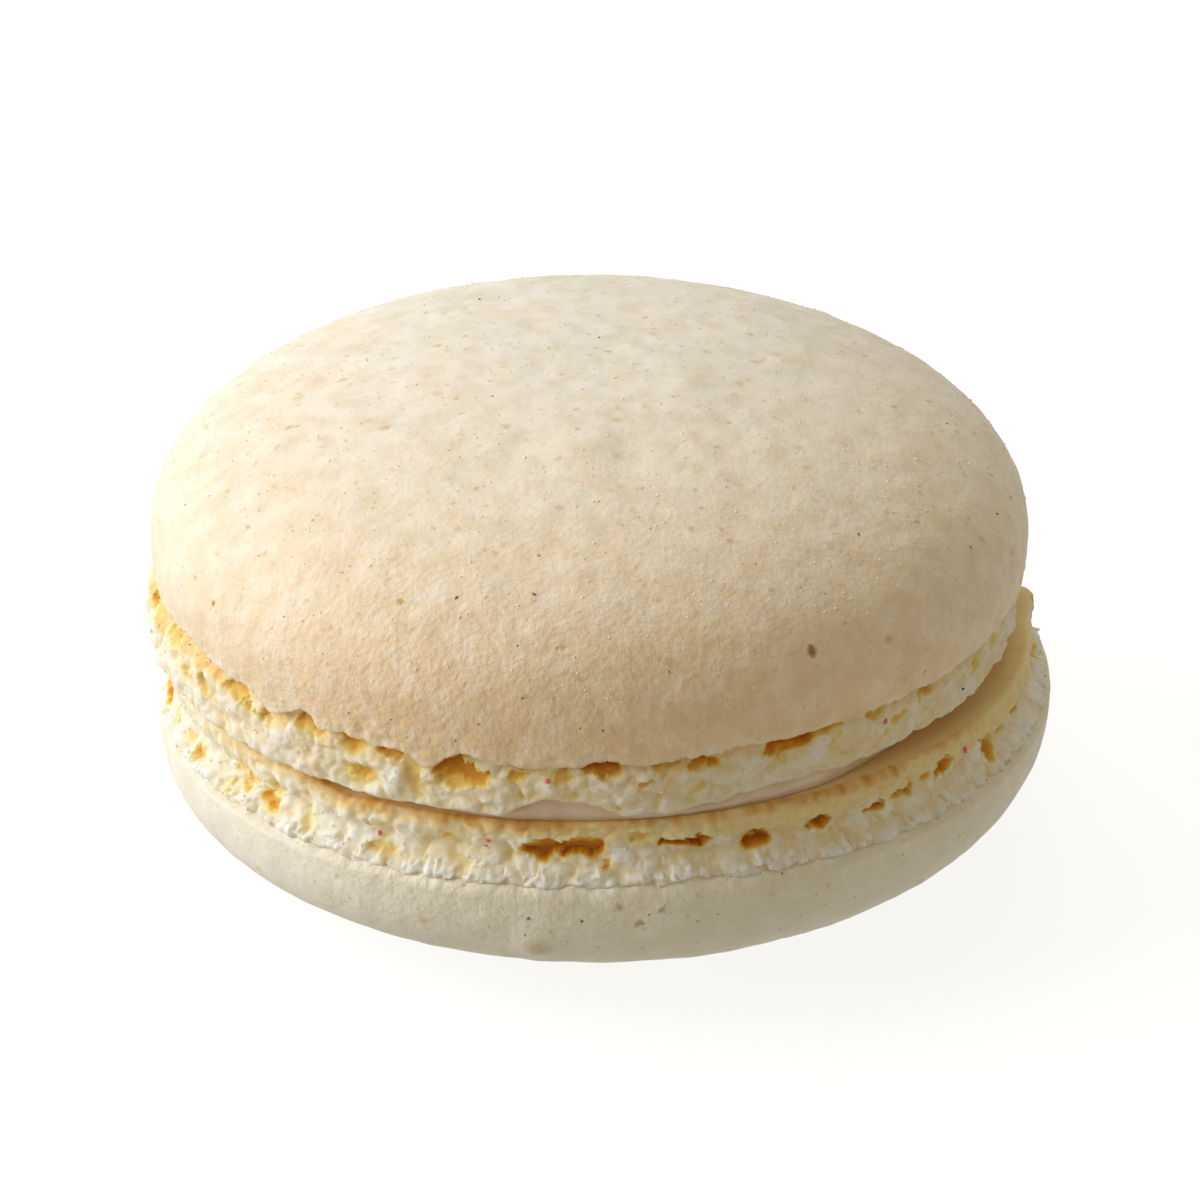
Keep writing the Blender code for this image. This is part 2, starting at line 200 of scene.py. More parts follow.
def crown_steps(radius, height, roundness, cell):
    """Radius, share fallen and columns of each ring of a crown, from its middle out to its widest ring.

    The rings are a cell apart along the crown's curve, and their columns double as the radius grows.
    """
    step = np.linspace(0.0, math.pi / 2, CURVE_STEPS)
    out = radius * np.sin(step)
    down = height * crown_drop(np.sin(step), roundness)
    along = np.concatenate([[0.0], np.cumsum(np.hypot(np.diff(out), np.diff(down)))])
    even = np.linspace(0.0, along[-1], int(along[-1] / cell) + 1)[1:]
    out, down = np.interp(even, along, out), np.interp(even, along, down)
    doublings = np.ceil(np.log2(2.0 * math.pi * out / cell / (FEWEST_COLUMNS * 1.4)))
    most = math.log2(CROWN_COLUMNS / FEWEST_COLUMNS)
    columns = FEWEST_COLUMNS * 2 ** np.clip(doublings, 0, most).astype(int)
    return list(zip(out, down / height, columns))


def skin_relief(points, seed):
    """The crown's unevenness: soft swells a few millimetres wide, and the almond's grain on them."""
    swells = 0.05 * soft_noise(points, 3.6, seed) + 0.045 * soft_noise(points, 1.6, seed + 1)
    return swells + 0.04 * soft_noise(points, 0.8, seed + 2) * (0.6 + 0.6 * soft_noise(points, 5.0, seed + 3))


def add_piece(name, mesh, material):
    """Puts a finished mesh in the scene with its material, as a piece that is fixed to the macaron."""
    mesh.materials.append(material)
    piece = bpy.data.objects.new(name, mesh)
    bpy.context.scene.collection.objects.link(piece)
    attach(piece, BODY)
    return piece


def make_piece(name, rows, material, marks):
    """A closed mesh skinned over rings of points, from its lowest point up, with a number per point.

    A ring joins the next with quads where both have as many points, with one triangle and one quad to each
    point of the smaller where it has half as many, and with triangles round a single point.
    """
    points = np.concatenate(rows)
    starts = np.cumsum([0] + [len(row) for row in rows])
    quads, triangles = [], []
    for start, end, below, above in zip(starts, starts[1:], rows, rows[1:]):
        low, high = len(below), len(above)
        few = np.arange(min(low, high))
        here, there = few, (few + 1) % len(few)
        if low == high:
            quads.append(np.stack([start + here, start + there, end + there, end + here], axis=1))
        elif low == 1:
            upper = np.arange(high)
            triangles.append(np.stack([0 * upper + start, end + (upper + 1) % high, end + upper], axis=1))
        elif high == 1:
            lower = np.arange(low)
            triangles.append(np.stack([start + lower, start + (lower + 1) % low, 0 * lower + end], axis=1))
        elif low < high:
            first, middle, last = end + 2 * here, end + 2 * here + 1, end + 2 * there
            triangles.append(np.stack([start + here, middle, first], axis=1))
            quads.append(np.stack([start + here, start + there, last, middle], axis=1))
        else:
            first, middle, last = start + 2 * here, start + 2 * here + 1, start + 2 * there
            triangles.append(np.stack([first, middle, end + here], axis=1))
            quads.append(np.stack([middle, last, end + there, end + here], axis=1))
    corners = [face.ravel() for face in quads + triangles]
    sizes = np.concatenate([np.full(len(face), face.shape[1]) for face in quads + triangles])
    mesh = bpy.data.meshes.new(name)
    mesh.vertices.add(len(points))
    mesh.vertices.foreach_set("co", (points * MM).astype(np.float32).ravel())
    mesh.loops.add(int(sizes.sum()))
    mesh.loops.foreach_set("vertex_index", np.concatenate(corners).astype(np.int32))
    mesh.polygons.add(len(sizes))
    mesh.polygons.foreach_set("loop_start", np.concatenate([[0], np.cumsum(sizes)[:-1]]).astype(np.int32))
    mesh.update(calc_edges=True)
    for mark, values in marks.items():
        layer = mesh.attributes.new(mark, "FLOAT", "POINT")
        layer.data.foreach_set("value", np.concatenate(values).astype(np.float32))
    mesh.shade_smooth()
    mesh.set_sharp_from_angle(angle=math.radians(SHARP_ANGLE))
    return add_piece(name, mesh, material)


def linear(colour):
    """The linear colour that a shader takes, from an sRGB hex colour."""
    channels = [int(colour[i : i + 2], 16) / 255 for i in (1, 3, 5)]
    return tuple(c / 12.92 if c <= 0.04045 else ((c + 0.055) / 1.055) ** 2.4 for c in channels) + (1.0,)


def add_node(material, kind, values):
    """Adds one shader node and gives its outputs.

    A value is one of the node's own options, its colour ramp's stops, or what one of its sockets gets: a
    number, a hex colour or another node's output.
    """
    node = material.node_tree.nodes.new("ShaderNode" + kind)
    for name, value in values.items():
        if name == "stops":
            node.color_ramp.elements.remove(node.color_ramp.elements[1])
            for i, (position, colour) in enumerate(value):
                stop = node.color_ramp.elements[0] if i == 0 else node.color_ramp.elements.new(position)
                stop.position = position
                stop.color = linear(colour)
        elif isinstance(name, str) and name.islower():
            setattr(node, name, value)
        elif isinstance(value, bpy.types.NodeSocket):
            material.node_tree.links.new(value, node.inputs[name])
        else:
            node.inputs[name].default_value = linear(value) if isinstance(value, str) else value
    return node.outputs


def new_material(name):
    """An empty node material, and its coordinates on the object in metres."""
    material = bpy.data.materials.new(name)
    material.use_nodes = True
    material.node_tree.nodes.clear()
    return material, add_node(material, "TexCoord", {})["Object"]


# Sockets of the Mix node when it mixes colours, and its colour result
MIX_A, MIX_B, MIX_RESULT = 6, 7, 2


def lay_over(material, colour, coats):
    """The colour with several coats laid over it in turn, each with its share from 0 to 1 and its colour."""
    for share, coat in coats:
        mix = {"data_type": "RGBA", "Factor": share, MIX_A: colour, MIX_B: coat}
        colour = add_node(material, "Mix", mix)[MIX_RESULT]
    return colour


def specks(material, place, spacing, radius, kept):
    """Round specks at scattered places: how much of one covers a point, and a number of its own for each.

    One place in every cell of this spacing is a centre, and the share of them that is kept gets a speck.
    """
    cells = add_node(material, "TexVoronoi", {"Scale": 1 / (spacing * MM), "Vector": place})
    share = radius / spacing
    covered = {"Value": cells["Distance"], "From Min": share, "From Max": 0.35 * share}
    spot = add_node(material, "MapRange", covered)["Result"]
    drawn = add_node(material, "SeparateColor", {"Color": cells["Color"]})
    chosen = add_node(material, "Math", {"operation": "LESS_THAN", 0: drawn["Red"], 1: kept})[0]
    there = add_node(material, "Math", {"operation": "MULTIPLY", 0: spot, 1: chosen})[0]
    return there, drawn["Green"]


def crown_skin(name, tints, tan, browning, named_marks):
    """Baked almond meringue skin: dry and matt, so light spreads on it softly with hardly any gleam.

    The cream drifts between three tints in patches a few millimetres wide, and is mottled tan and white a
    millimetre wide. Ground almond makes golden and brown flecks, the air that left made pinholes, and the
    grain is relief under half a millimetre wide. Browning is the tint that deepens between two heights, which
    rise towards the back by a share of the distance, then the place across where it is fullest and the share
    of it that the far sides keep. A mark is a place on the skin with its radius and colour, for the few that
    are larger.
    """
    material, place = new_material(name)
    drift = {"Scale": 1 / (SKIN_PATCH_WIDTH * MM), "Detail": 3.0, "Roughness": 0.55, "Distortion": 0.6}
    patches = add_node(material, "TexNoise", {**drift, "Vector": place})["Fac"]
    stops = tuple(zip(SKIN_TINTS_AT, tints))
    tint = add_node(material, "ValToRGB", {"stops": stops, "Fac": patches})["Color"]

    brown, least_height, most_height, rise_to_back, middle, share_at_sides = browning
    upwards = {"operation": "DOT_PRODUCT", 0: place, 1: (0.0, rise_to_back, 1.0)}
    height = add_node(material, "VectorMath", upwards)["Value"]
    low = {"Value": height, "From Min": least_height * MM, "From Max": most_height * MM}
    low_share = add_node(material, "MapRange", low)["Result"]
    across = {"operation": "MULTIPLY", 0: place, 1: (1.0, 0.0, 0.0)}
    across = add_node(material, "VectorMath", across)["Vector"]
    aside = {"operation": "DISTANCE", 0: across, 1: (middle * MM, 0.0, 0.0)}
    aside = add_node(material, "VectorMath", aside)["Value"]
    far, near = (width * MM for width in SKIN_SIDES)
    sides = {"Value": aside, "From Min": far, "From Max": near, "To Min": share_at_sides}
    side_share = add_node(material, "MapRange", sides)["Result"]
    brown_share = add_node(material, "Math", {"operation": "MULTIPLY", 0: low_share, 1: side_share})[0]
    coats = [(brown_share, brown)]

    mottle = {"Scale": 1 / (SKIN_MOTTLE_WIDTH * MM), "Detail": 4.0, "Roughness": 0.66, "Vector": place}
    mottle = add_node(material, "TexNoise", mottle)["Fac"]
    for start, end, most, other in (*SKIN_TAN_MOTTLE, tan), (*SKIN_WHITE_MOTTLE, "#FFF8EA"):
        strength = {"Value": brown_share, "To Min": SKIN_PALE_MOTTLE, "To Max": most}
        strength = add_node(material, "MapRange", strength)["Result"]
        share = {"Value": mottle, "From Min": start, "From Max": end}
        share = add_node(material, "MapRange", share)["Result"]
        share = add_node(material, "Math", {"operation": "MULTIPLY", 0: share, 1: strength})[0]
        coats.append((share, other))

    bend = add_node(material, "TexNoise", {"Scale": 1 / (0.5 * MM), "Detail": 1.0, "Vector": place})["Color"]
    bent = {"operation": "MULTIPLY_ADD", 0: bend, 1: (SKIN_BEND * MM,) * 3, 2: place}
    bent = add_node(material, "VectorMath", bent)["Vector"]
    for spacing, radius, kept, most in SKIN_FLECKS:
        there, drawn = specks(material, bent, spacing, radius, kept)
        own = add_node(material, "ValToRGB", {"stops": FLECK_COLOURS, "Fac": drawn})["Color"]
        coats.append((add_node(material, "Math", {"operation": "MULTIPLY", 0: there, 1: most})[0], own))

    fine, rough = SKIN_COARSENESS
    coarse = {"Value": brown_share, "From Max": 0.7, "To Min": fine, "To Max": rough}
    coarseness = add_node(material, "MapRange", coarse)["Result"]
    hole, _ = specks(material, place, SKIN_PINHOLE_SPACING, SKIN_PINHOLE_RADIUS, SKIN_PINHOLES_KEPT)
    depth = add_node(material, "Math", {"operation": "MULTIPLY", 0: hole, 1: coarseness})[0]
    coats.append((depth, "#AC966C"))
    for centre, radius, mark_colour in named_marks:
        centre = [(c + SKIN_BEND / 2) * MM for c in centre]
        away = add_node(material, "VectorMath", {"operation": "DISTANCE", 0: bent, 1: centre})["Value"]
        mark = {"Value": away, "From Min": 1.15 * radius * MM, "From Max": 0.5 * radius * MM}
        mark = add_node(material, "MapRange", mark)["Result"]
        coats.append((mark, mark_colour))
        depth = add_node(material, "Math", {"operation": "MULTIPLY_ADD", 0: mark, 1: 0.1, 2: depth})[0]

    torn = add_node(material, "Attribute", {"attribute_name": "torn"})["Fac"]
    coats.append((add_node(material, "MapRange", {"Value": torn, "To Max": 0.5})["Result"], "#FAF1DC"))
    # Painted shade: the upper crown's underside turns amber further in behind the lip
    coats.append((add_node(material, "Attribute", {"attribute_name": "hollow_shade"})["Fac"], "#D98A2C"))

    grain = {"Scale": 1 / (SKIN_GRAIN_WIDTH * MM), "Detail": 2.0, "Roughness": 0.55, "Vector": place}
    grain = add_node(material, "TexNoise", grain)["Fac"]
    pimples = {"feature": "SMOOTH_F1", "Scale": 1 / (SKIN_PIMPLE_WIDTH * MM), "Smoothness": 0.6}
    pimples = add_node(material, "TexVoronoi", {**pimples, "Vector": bent})["Distance"]
    grained = add_node(material, "Math", {"operation": "MULTIPLY", 0: brown_share, 1: 0.8})[0]
    creases = add_node(material, "Math", {"operation": "MULTIPLY", 0: pimples, 1: grained})[0]
    creases = add_node(material, "Math", {"operation": "ADD", 0: creases, 1: depth})[0]
    relief = add_node(material, "Math", {"operation": "MULTIPLY_ADD", 0: creases, 1: -1.0, 2: grain})[0]
    bump = {"Distance": SKIN_RELIEF * MM, "Height": relief, "Strength": coarseness}
    values = {
        "Base Color": lay_over(material, tint, coats),
        "Normal": add_node(material, "Bump", bump)["Normal"],
        "Roughness": 0.58,
        "IOR": 1.45,
        "Specular IOR Level": 0.4,
        "Subsurface Weight": 0.12,
        "Subsurface Radius": (1.0, 0.75, 0.5),
        "Subsurface Scale": 0.5 * MM,
    }
    add_node(material, "OutputMaterial", {"Surface": add_node(material, "BsdfPrincipled", values)["BSDF"]})
    return material


def closing_rows(columns, radius, height, shift):
    """Rings from a ring's inside to a single point at its middle, each with half the columns and radius."""
    rows = []
    while columns >= FEWEST_COLUMNS:
        rows.append(ring(radius, height, column_turns(columns), shift))
        columns //= 2
        radius *= 0.5
    return rows + [np.array([[shift, 0.0, height]])]


def lower_equator(turn, radius):
    """Height of the lower crown's widest ring at this radius: it slopes up to the right."""
    return LOWER_EQUATOR + LOWER_SLOPE * radius * np.sin(np.radians(turn))


def lower_lip_height(turn):
    """Height where the lower crown ends and its foot begins, over the widest ring: highest at the front."""
    rag = ring(LOWER_LIP_RADIUS, 0.0, turn, 0.0)
    height = lower_equator(turn, LOWER_RADIUS) + (LOWER_LIP_RISE + bells(turn, LOWER_LIP_SHAPES))
    return height + 0.14 * soft_noise(rag, 1.7, 11) + 0.12 * soft_noise(rag, 0.6, 12)


def lip_rag(points, seed):
    """The ragged relief of a lip's skin: soft noise just under a millimetre and half a millimetre wide."""
    return 0.1 * soft_noise(points, 0.9, seed) + 0.05 * soft_noise(points, 0.45, seed + 1)


def lower_crown_rows():
    """Rings of the lower crown and their marks, from the flat spot it rests on to inside its foot.

    Up to the widest ring it is a flattened superellipse that leans a little. The shoulder over it is a
    quarter of an ellipse, and the rest is hidden in the foot.
    """
    rows = [np.array([[LOWER_SHIFT - LOWER_LEAN, 0.0, 0.0]])]
    spot = crown_drop(RESTING_RADIUS / LOWER_RADIUS, LOWER_ROUNDNESS)
    for radius, fallen, columns in crown_steps(LOWER_RADIUS, LOWER_EQUATOR, LOWER_ROUNDNESS, LOWER_CELL):
        turn = column_turns(columns)
        rise = max(fallen - spot, 0.0) / (1.0 - spot)
        shift = LOWER_SHIFT - LOWER_LEAN * (1.0 - rise)
        row = ring(radius, lower_equator(turn, radius) * rise, turn, shift)
        outward = ring(fallen, -(1.0 - fallen), turn, 0.0)
        outward /= np.linalg.norm(outward, axis=1, keepdims=True)
        relief = skin_relief(row, 3) * ramp(rise, 0.02, 0.2)
        for x, y, z, width, lift in LOWER_LUMPS:
            relief = relief + lift * bell(np.linalg.norm(row - (x, y, z), axis=1), 0.0, width)
        rows.append(row + outward * relief[:, None])
    torn = [np.zeros(len(row)) for row in rows]
    turn = column_turns(FOOT_COLUMNS)
    equator = lower_equator(turn, LOWER_RADIUS)
    lip = lower_lip_height(turn)
    for step in np.radians(SHOULDER_ANGLES):
        radius = LOWER_LIP_RADIUS + (LOWER_RADIUS - LOWER_LIP_RADIUS) * math.cos(step)
        row = ring(radius, equator + (lip - equator) * math.sin(step), turn, LOWER_SHIFT)
        relief = skin_relief(row, 3) + ramp(step, 0.5, 1.5) * lip_rag(row, 13)
        rows.append(row + ring(relief, 0.0, turn, 0.0))
        torn.append(ramp(step + 0.5 * soft_noise(row, 0.8, 15), 0.5, 1.4))
    rows.append(ring(LOWER_LIP_RADIUS - 0.5, lip + 0.06, turn, LOWER_SHIFT))
    torn.append(np.ones(len(rows[-1])))
    hidden = closing_rows(FOOT_COLUMNS, LOWER_LIP_RADIUS - 1.0, LOWER_EQUATOR + 0.1, LOWER_SHIFT)
    return rows + hidden, torn + [np.ones(len(row)) for row in hidden]


# The skin's tints from shade over cream to peach, and its browning
LOWER_TINTS = ("#EEE9DA", "#F4EEDF", "#F4EBDA")
LOWER_BROWNING = ("#F2EAD2", 2.0, 9.0, 0.0, 6.0, 0.4)
lower_skin = crown_skin(
    "Baked almond meringue skin, lower", LOWER_TINTS, "#E8DEC6", LOWER_BROWNING, LOWER_MARKS
)
lower_rows, lower_torn = lower_crown_rows()
lower_marks = {"torn": lower_torn, "hollow_shade": [0.0 * mark for mark in lower_torn]}
lower_crown = make_piece("lower_crown", lower_rows, lower_skin, lower_marks)
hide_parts("bottom_shell")


# The lower foot: the frothy skirt that rose and tore under the crown while the shell baked. It is the same
# meringue without a skin: pale crumb with burst bubbles, a frill of flakes where it left the crown, and
# caverns over the frill that light reaches only through the sugar. Its flat baked rim shows as a tan ledge.
# The rings of a foot's wall, how many of them next to the rim get no loose crumbs, the radius of the corner
# where the wall turns into the base, and how far in from the rim the base's rings end inside the macaron
FOOT_STEPS = 46
CLEAR_OF_RIM = 12
FOOT_CORNER = 0.32
BASE_HIDDEN_IN = 8.0
# The angles of the rings round that corner, and how far in the base's rings lie
CORNER_ANGLES = (20, 40, 60, 80)
BASE_INSETS = (0.45, 0.65, 0.9, 1.2, 1.6, 2.2, 3.0, 4.2)
# The share of the wall from the lip up at which its bulge is full
BULGE_FULL_AT = 0.7
# How much of the crumb's relief the baked base keeps, and the least share with which hollows are cut
BASE_ROUGHNESS, LEAST_ROUGHNESS = 0.12, 0.15
CRUMB_CLOT_WIDTH = 1.1
CRUMB_PORE_WIDTH = 0.2
# In cells: how far a clot reaches, squared, and the least radius of a burst bubble and its range
LUMP_REACH = 0.62
BUBBLE_RADII = (0.3, 0.35)
# How far the crumb's points also drift along the ring and up or down
CRUMB_DRIFT = 0.1
# The share of a hollow's depth that is cut: the rest is left to its painted shade, amber as light through the
# sugar fills a real one
DEPTH_SHOWN = 0.45
# The depth at which a hollow has lost its crumb, and at which its painted shade is the deepest
DEPTH_WITHOUT_CRUMB = 0.35
DEEPEST = 1.4
# How much shallower a hollow is on its side away from the lip
FADE_AWAY = 0.55
LOWER_FOOT_RADIUS = 22.0
LOWER_EDGE = 11.25
LOWER_EDGE_WAVE = 0.5
LOWER_EDGE_WAVE_TURN = 28
LOWER_BASE_MIDDLE = 10.6
# How far below the crown's lip the foot starts, the groove along its wall (its place between lip and edge,
# its depth and its half width), and how far the frill's flakes stand out
LOWER_FOOT_HIDDEN = 0.3
LOWER_GROOVE = (0.55, 0.4, 0.2)
LOWER_FRILL = 0.22
# The drip at the right, which stands out and up
DRIP_TURN, DRIP_WIDTH, DRIP_OUT, DRIP_UP = 98, 3.4, 0.5, 0.45
# The drip, and where the rim rises at the left to meet the upper foot
LOWER_EDGE_SHAPES = (
    (DRIP_TURN, DRIP_WIDTH, 2, DRIP_UP),
    (-45, 5, 2, 0.46),
    (-36, 3.5, 2, -0.2),
    (-70, 14, 2, 0.25),
)
LOWER_BULGE_SHAPES = ((-92, 28, 2, 0.8),)
# Where the lower foot's wall is smooth rather than torn, at both far sides
LOWER_CALM_SHAPES = ((94, 20, 4, 0.4), (-92, 20, 4, 0.4), (-62, 40, 4, 0.2))
# How far the wall's upper half has browned: a little all round, and most at the right
LOWER_GOLD = 0.45
LOWER_GOLD_SHAPES = ((44, 40, 4, 0.6),)
# Where the rim has a line of gold and brown along it, partly browned and partly painted shade where it runs
# in under the filling, and the drip's brown tip
RIM_LINE_SHAPES = ((2, 64, 6, 3.2),)
DRIP_TIP_SHAPES = ((98.5, 2.0, 2, 4.2),)
# How far the frill leans out over the crown's shoulder, against how far its flakes stand out
FRILL_LEAN = 1.1
SHARP, SOFT = 0.35, 1.1
# The mark for how far a place has baked, with painted shade inside and along the rim, where its colour is the
# brownest, and the tints on the way there
MOST_BAKED = 5.0
BAKED_AND_SHADE_STOPS = ((0.4, "#F2D298"), (0.6, "#D4A350"), (0.74, "#A87C3C"), (0.95, "#7E6038"))
# The painted shade of a hollow, amber as light through the sugar, from its edge to its deepest place
HOLLOW_SHADE_STOPS = ((0.05, "#FAEEC8"), (0.2, "#F6E2A4"), (0.42, "#F0CA6C"), (0.66, "#E8AC3E"), (0.95, "#D68618"))
# The painted shade mark at which a place counts as inside a hollow
LEAST_HOLLOW = 0.06

# From which turn to which the photo doesn't show the feet, so that their hollows are drawn at random
UNSEEN_FROM, UNSEEN_TO = 80.0, 275.0
# Caverns and bowls of the lower foot that show: turn, height, width, tallness, depth, softness of the edge
LOWER_HOLLOWS = (
    (-76, 8.4, 1.6, 0.7, 0.5, SOFT),
    (-70.5, 8.5, 1.2, 0.6, 0.5, SOFT),
    (-66.5, 8.4, 1.3, 0.75, 0.65, SHARP),
    (-57, 9.5, 1.0, 0.8, 0.5, SOFT),
    (-54, 9.1, 1.1, 0.7, 0.5, SHARP),
    (-54.5, 8.6, 0.6, 0.6, 0.6, SHARP),
    (-57.5, 7.9, 0.6, 0.55, 0.5, SHARP),
    (-49, 8.7, 1.6, 0.8, 0.85, SHARP),
    (-48, 9.6, 1.1, 0.9, 0.5, SOFT),
    (-42, 8.5, 0.9, 1.0, 0.4, SOFT),
    (-32, 9.7, 0.5, 0.4, 0.4, SHARP),
    (-30, 8.7, 1.3, 0.6, 0.45, SHARP),
    (-20.7, 10.05, 0.7, 0.5, 0.5, SHARP),
    (-8.2, 10.0, 2.2, 1.1, 1.2, SHARP),
    (-3.4, 10.25, 2.8, 1.2, 1.2, SHARP),
    (0, 9.2, 0.4, 0.75, 0.6, SHARP),
    (4.4, 10.8, 1.5, 0.8, 0.7, SOFT),
    (10, 10.3, 2.9, 0.6, 1.3, SHARP),
    (19.7, 9.95, 1.8, 0.8, 1.4, SHARP),
    (28.8, 10.1, 1.4, 0.55, 1.2, SHARP),
    (37.6, 9.95, 1.5, 0.5, 1.1, SHARP),
    (42.3, 10.2, 1.8, 0.55, 0.8, SHARP),
    (46.7, 10.3, 0.6, 0.5, 0.6, SHARP),
    (50.5, 10.4, 1.5, 1.1, 1.1, SHARP),
    (61.5, 9.6, 1.3, 0.9, 1.0, SHARP),
    (66.0, 9.8, 1.5, 0.9, 0.8, SOFT),
    (73.0, 9.9, 1.8, 1.0, 1.1, SHARP),
)


def lower_edge_height(turn):
    """Height of the lower shell's baked rim: a gentle wave round it, as the solid has."""
    wave = LOWER_EDGE_WAVE * np.cos(np.radians(2 * (turn - LOWER_EDGE_WAVE_TURN)))
    return LOWER_EDGE + wave + bells(turn, LOWER_EDGE_SHAPES)


def base_height(radius, edge, middle, foot_radius):
    """Height of a flat baked base: level in its middle, and reaching the edge's height as a cube."""
    return middle + (edge - middle) * np.minimum(radius / foot_radius, 1.0) ** 3


def near_centres(points, size, seed):
    """The 27 cells of a lattice round each point, and the point's offset from each cell's random centre."""
    place = points / size
    cell = np.floor(place).astype(np.int64)
    for step in np.ndindex(3, 3, 3):
        here = cell + np.array(step) - 1
        yield here, place - here - cell_numbers(here, seed)


def chips(points, size, seed):
    """Broken flakes: each point takes the slanting face of its nearest scattered centre, from -1 to 1."""
    nearest = np.full(points.shape[:-1], np.inf)
    face = np.zeros(points.shape[:-1])
    for here, offset in near_centres(points, size, seed):
        distance = np.sum(offset**2, axis=-1)
        slope = 2.0 * cell_numbers(here, seed + 50) - 1.0
        height = np.sum(offset * slope, axis=-1) + slope[..., 0] * 0.5
        face = np.where(distance < nearest, height, face)
        nearest = np.minimum(distance, nearest)
    return np.clip(face, -1.0, 1.0)


def round_lumps(points, size, seed):
    """Rounded clots with creases between them: 1 at scattered centres, falling as the distance squared."""
    nearest = np.full(points.shape[:-1], np.inf)
    for _, offset in near_centres(points, size, seed):
        nearest = np.minimum(nearest, np.sum(offset**2, axis=-1))
    return np.clip(1.0 - nearest / LUMP_REACH, 0.0, 1.0)


def burst_bubbles(points, size, kept, seed):
    """Round bowls of burst bubbles, 1 deep at their middles: spheres of mixed radius at scattered centres."""
    least, range_of_radii = BUBBLE_RADII
    deepest = np.zeros(points.shape[:-1])
    for here, offset in near_centres(points, size, seed):
        drawn = cell_numbers(here, seed + 50)
        radius = least + range_of_radii * drawn[..., 0]
        inside = 1.0 - np.sum(offset**2, axis=-1) / radius**2
        bowl = np.sqrt(np.clip(inside, 0.0, 1.0)) * radius / (least + range_of_radii)
        deepest = np.maximum(deepest, np.where(drawn[..., 1] < kept, bowl, 0.0))
    return deepest


def crumb_relief(points, seed):
    """The torn crumb: clots half a millimetre to two wide, flakes on them, and burst bubbles cut in."""
    bent = points + 0.3 * np.stack([soft_noise(points, 0.9, seed + i) for i in (6, 7, 8)], axis=-1)
    clots = 0.3 * round_lumps(bent, 1.5, seed) + 0.18 * round_lumps(bent, 0.65, seed + 1) - 0.27
    flakes = 0.06 * chips(bent, 0.55, seed + 2)
    bowls = 0.1 * burst_bubbles(bent, 1.3, 0.35, seed + 4) + 0.08 * burst_bubbles(bent, 0.55, 0.4, seed + 5)
    return 0.16 * soft_noise(points, 2.4, seed + 9) + clots + flakes - bowls


def hollow_depth(points, turn, height, hollows, up, seed):
    """Depth of the caverns and bowls: ellipses with a ragged outline, deepest on the side next to the lip.

    Up is 1 where the foot stands on its lip and -1 where it hangs from it.
    """
    bend_across = 0.3 * soft_noise(points, 0.9, seed) + 0.24 * chips(points, 0.55, seed + 1)
    bend_up = 0.2 * soft_noise(points, 0.8, seed + 2) + 0.2 * chips(points, 0.45, seed + 3)
    depth = np.zeros(points.shape[:-1])
    for centre, middle, width, tall, deep, softness in hollows:
        across = apart(turn, centre) * math.radians(LOWER_FOOT_RADIUS) + bend_across
        away = up * (height - middle + bend_up) / (tall / 2)
        inside = 1.0 - (across / (width / 2)) ** 2 - away**2
        shallower = 1.0 - FADE_AWAY * ramp(away, -0.5, 1.0)
        depth = np.maximum(depth, deep * shallower * ramp(inside, 0.0, softness))
    return depth


def neighbours(values):
    """Each point's value and those of the eight points round it: rings close, and the end rows repeat."""
    tall = np.pad(values, ((1, 1), (0, 0)), mode="edge")
    shifted = [tall[start : start + len(values)] for start in range(3)]
    return np.stack([np.roll(rows, along, axis=1) for rows in shifted for along in (-1, 0, 1)])


def spread_out(depth):
    """The depth spread by one point all round and softened, so that a hollow's wall takes its painted shade.
    """
    return neighbours(neighbours(depth).max(axis=0)).mean(axis=0)


def unseen_hollows(lip_height, edge_height, seed):
    """Caverns for the sides and back that the photo doesn't show, drawn at random in the same sizes."""
    draw = np.random.default_rng(seed)
    found = []
    turn = UNSEEN_FROM
    while turn < UNSEEN_TO:
        turn += draw.uniform(3.5, 8.0)
        lip, edge = lip_height(np.array([turn]))[0], edge_height(np.array([turn]))[0]
        share = draw.uniform(0.25, 0.65) if edge > lip else draw.uniform(0.1, 0.45)
        sizes = draw.uniform(0.8, 2.6), draw.uniform(0.5, 1.0), draw.uniform(0.5, 1.4)
        found.append((turn, lip + share * (edge - lip), *sizes, SHARP if draw.random() < 0.7 else SOFT))
    return tuple(found)


def frill_teeth(turn, up_from_lip, radius, seed):
    """1 on the frill of upright flakes next to the lip and 0 past their tips, whose heights jump about."""
    along = ring(radius, 0.0, turn, 0.0)
    tips = 0.75 + 0.45 * soft_noise(along, 1.3, seed) + 0.42 * chips(along, 0.55, seed + 1)
    tips = tips + 0.25 * soft_noise(along, 0.3, seed + 2)
    return ramp(tips - up_from_lip, -0.08, 0.08)


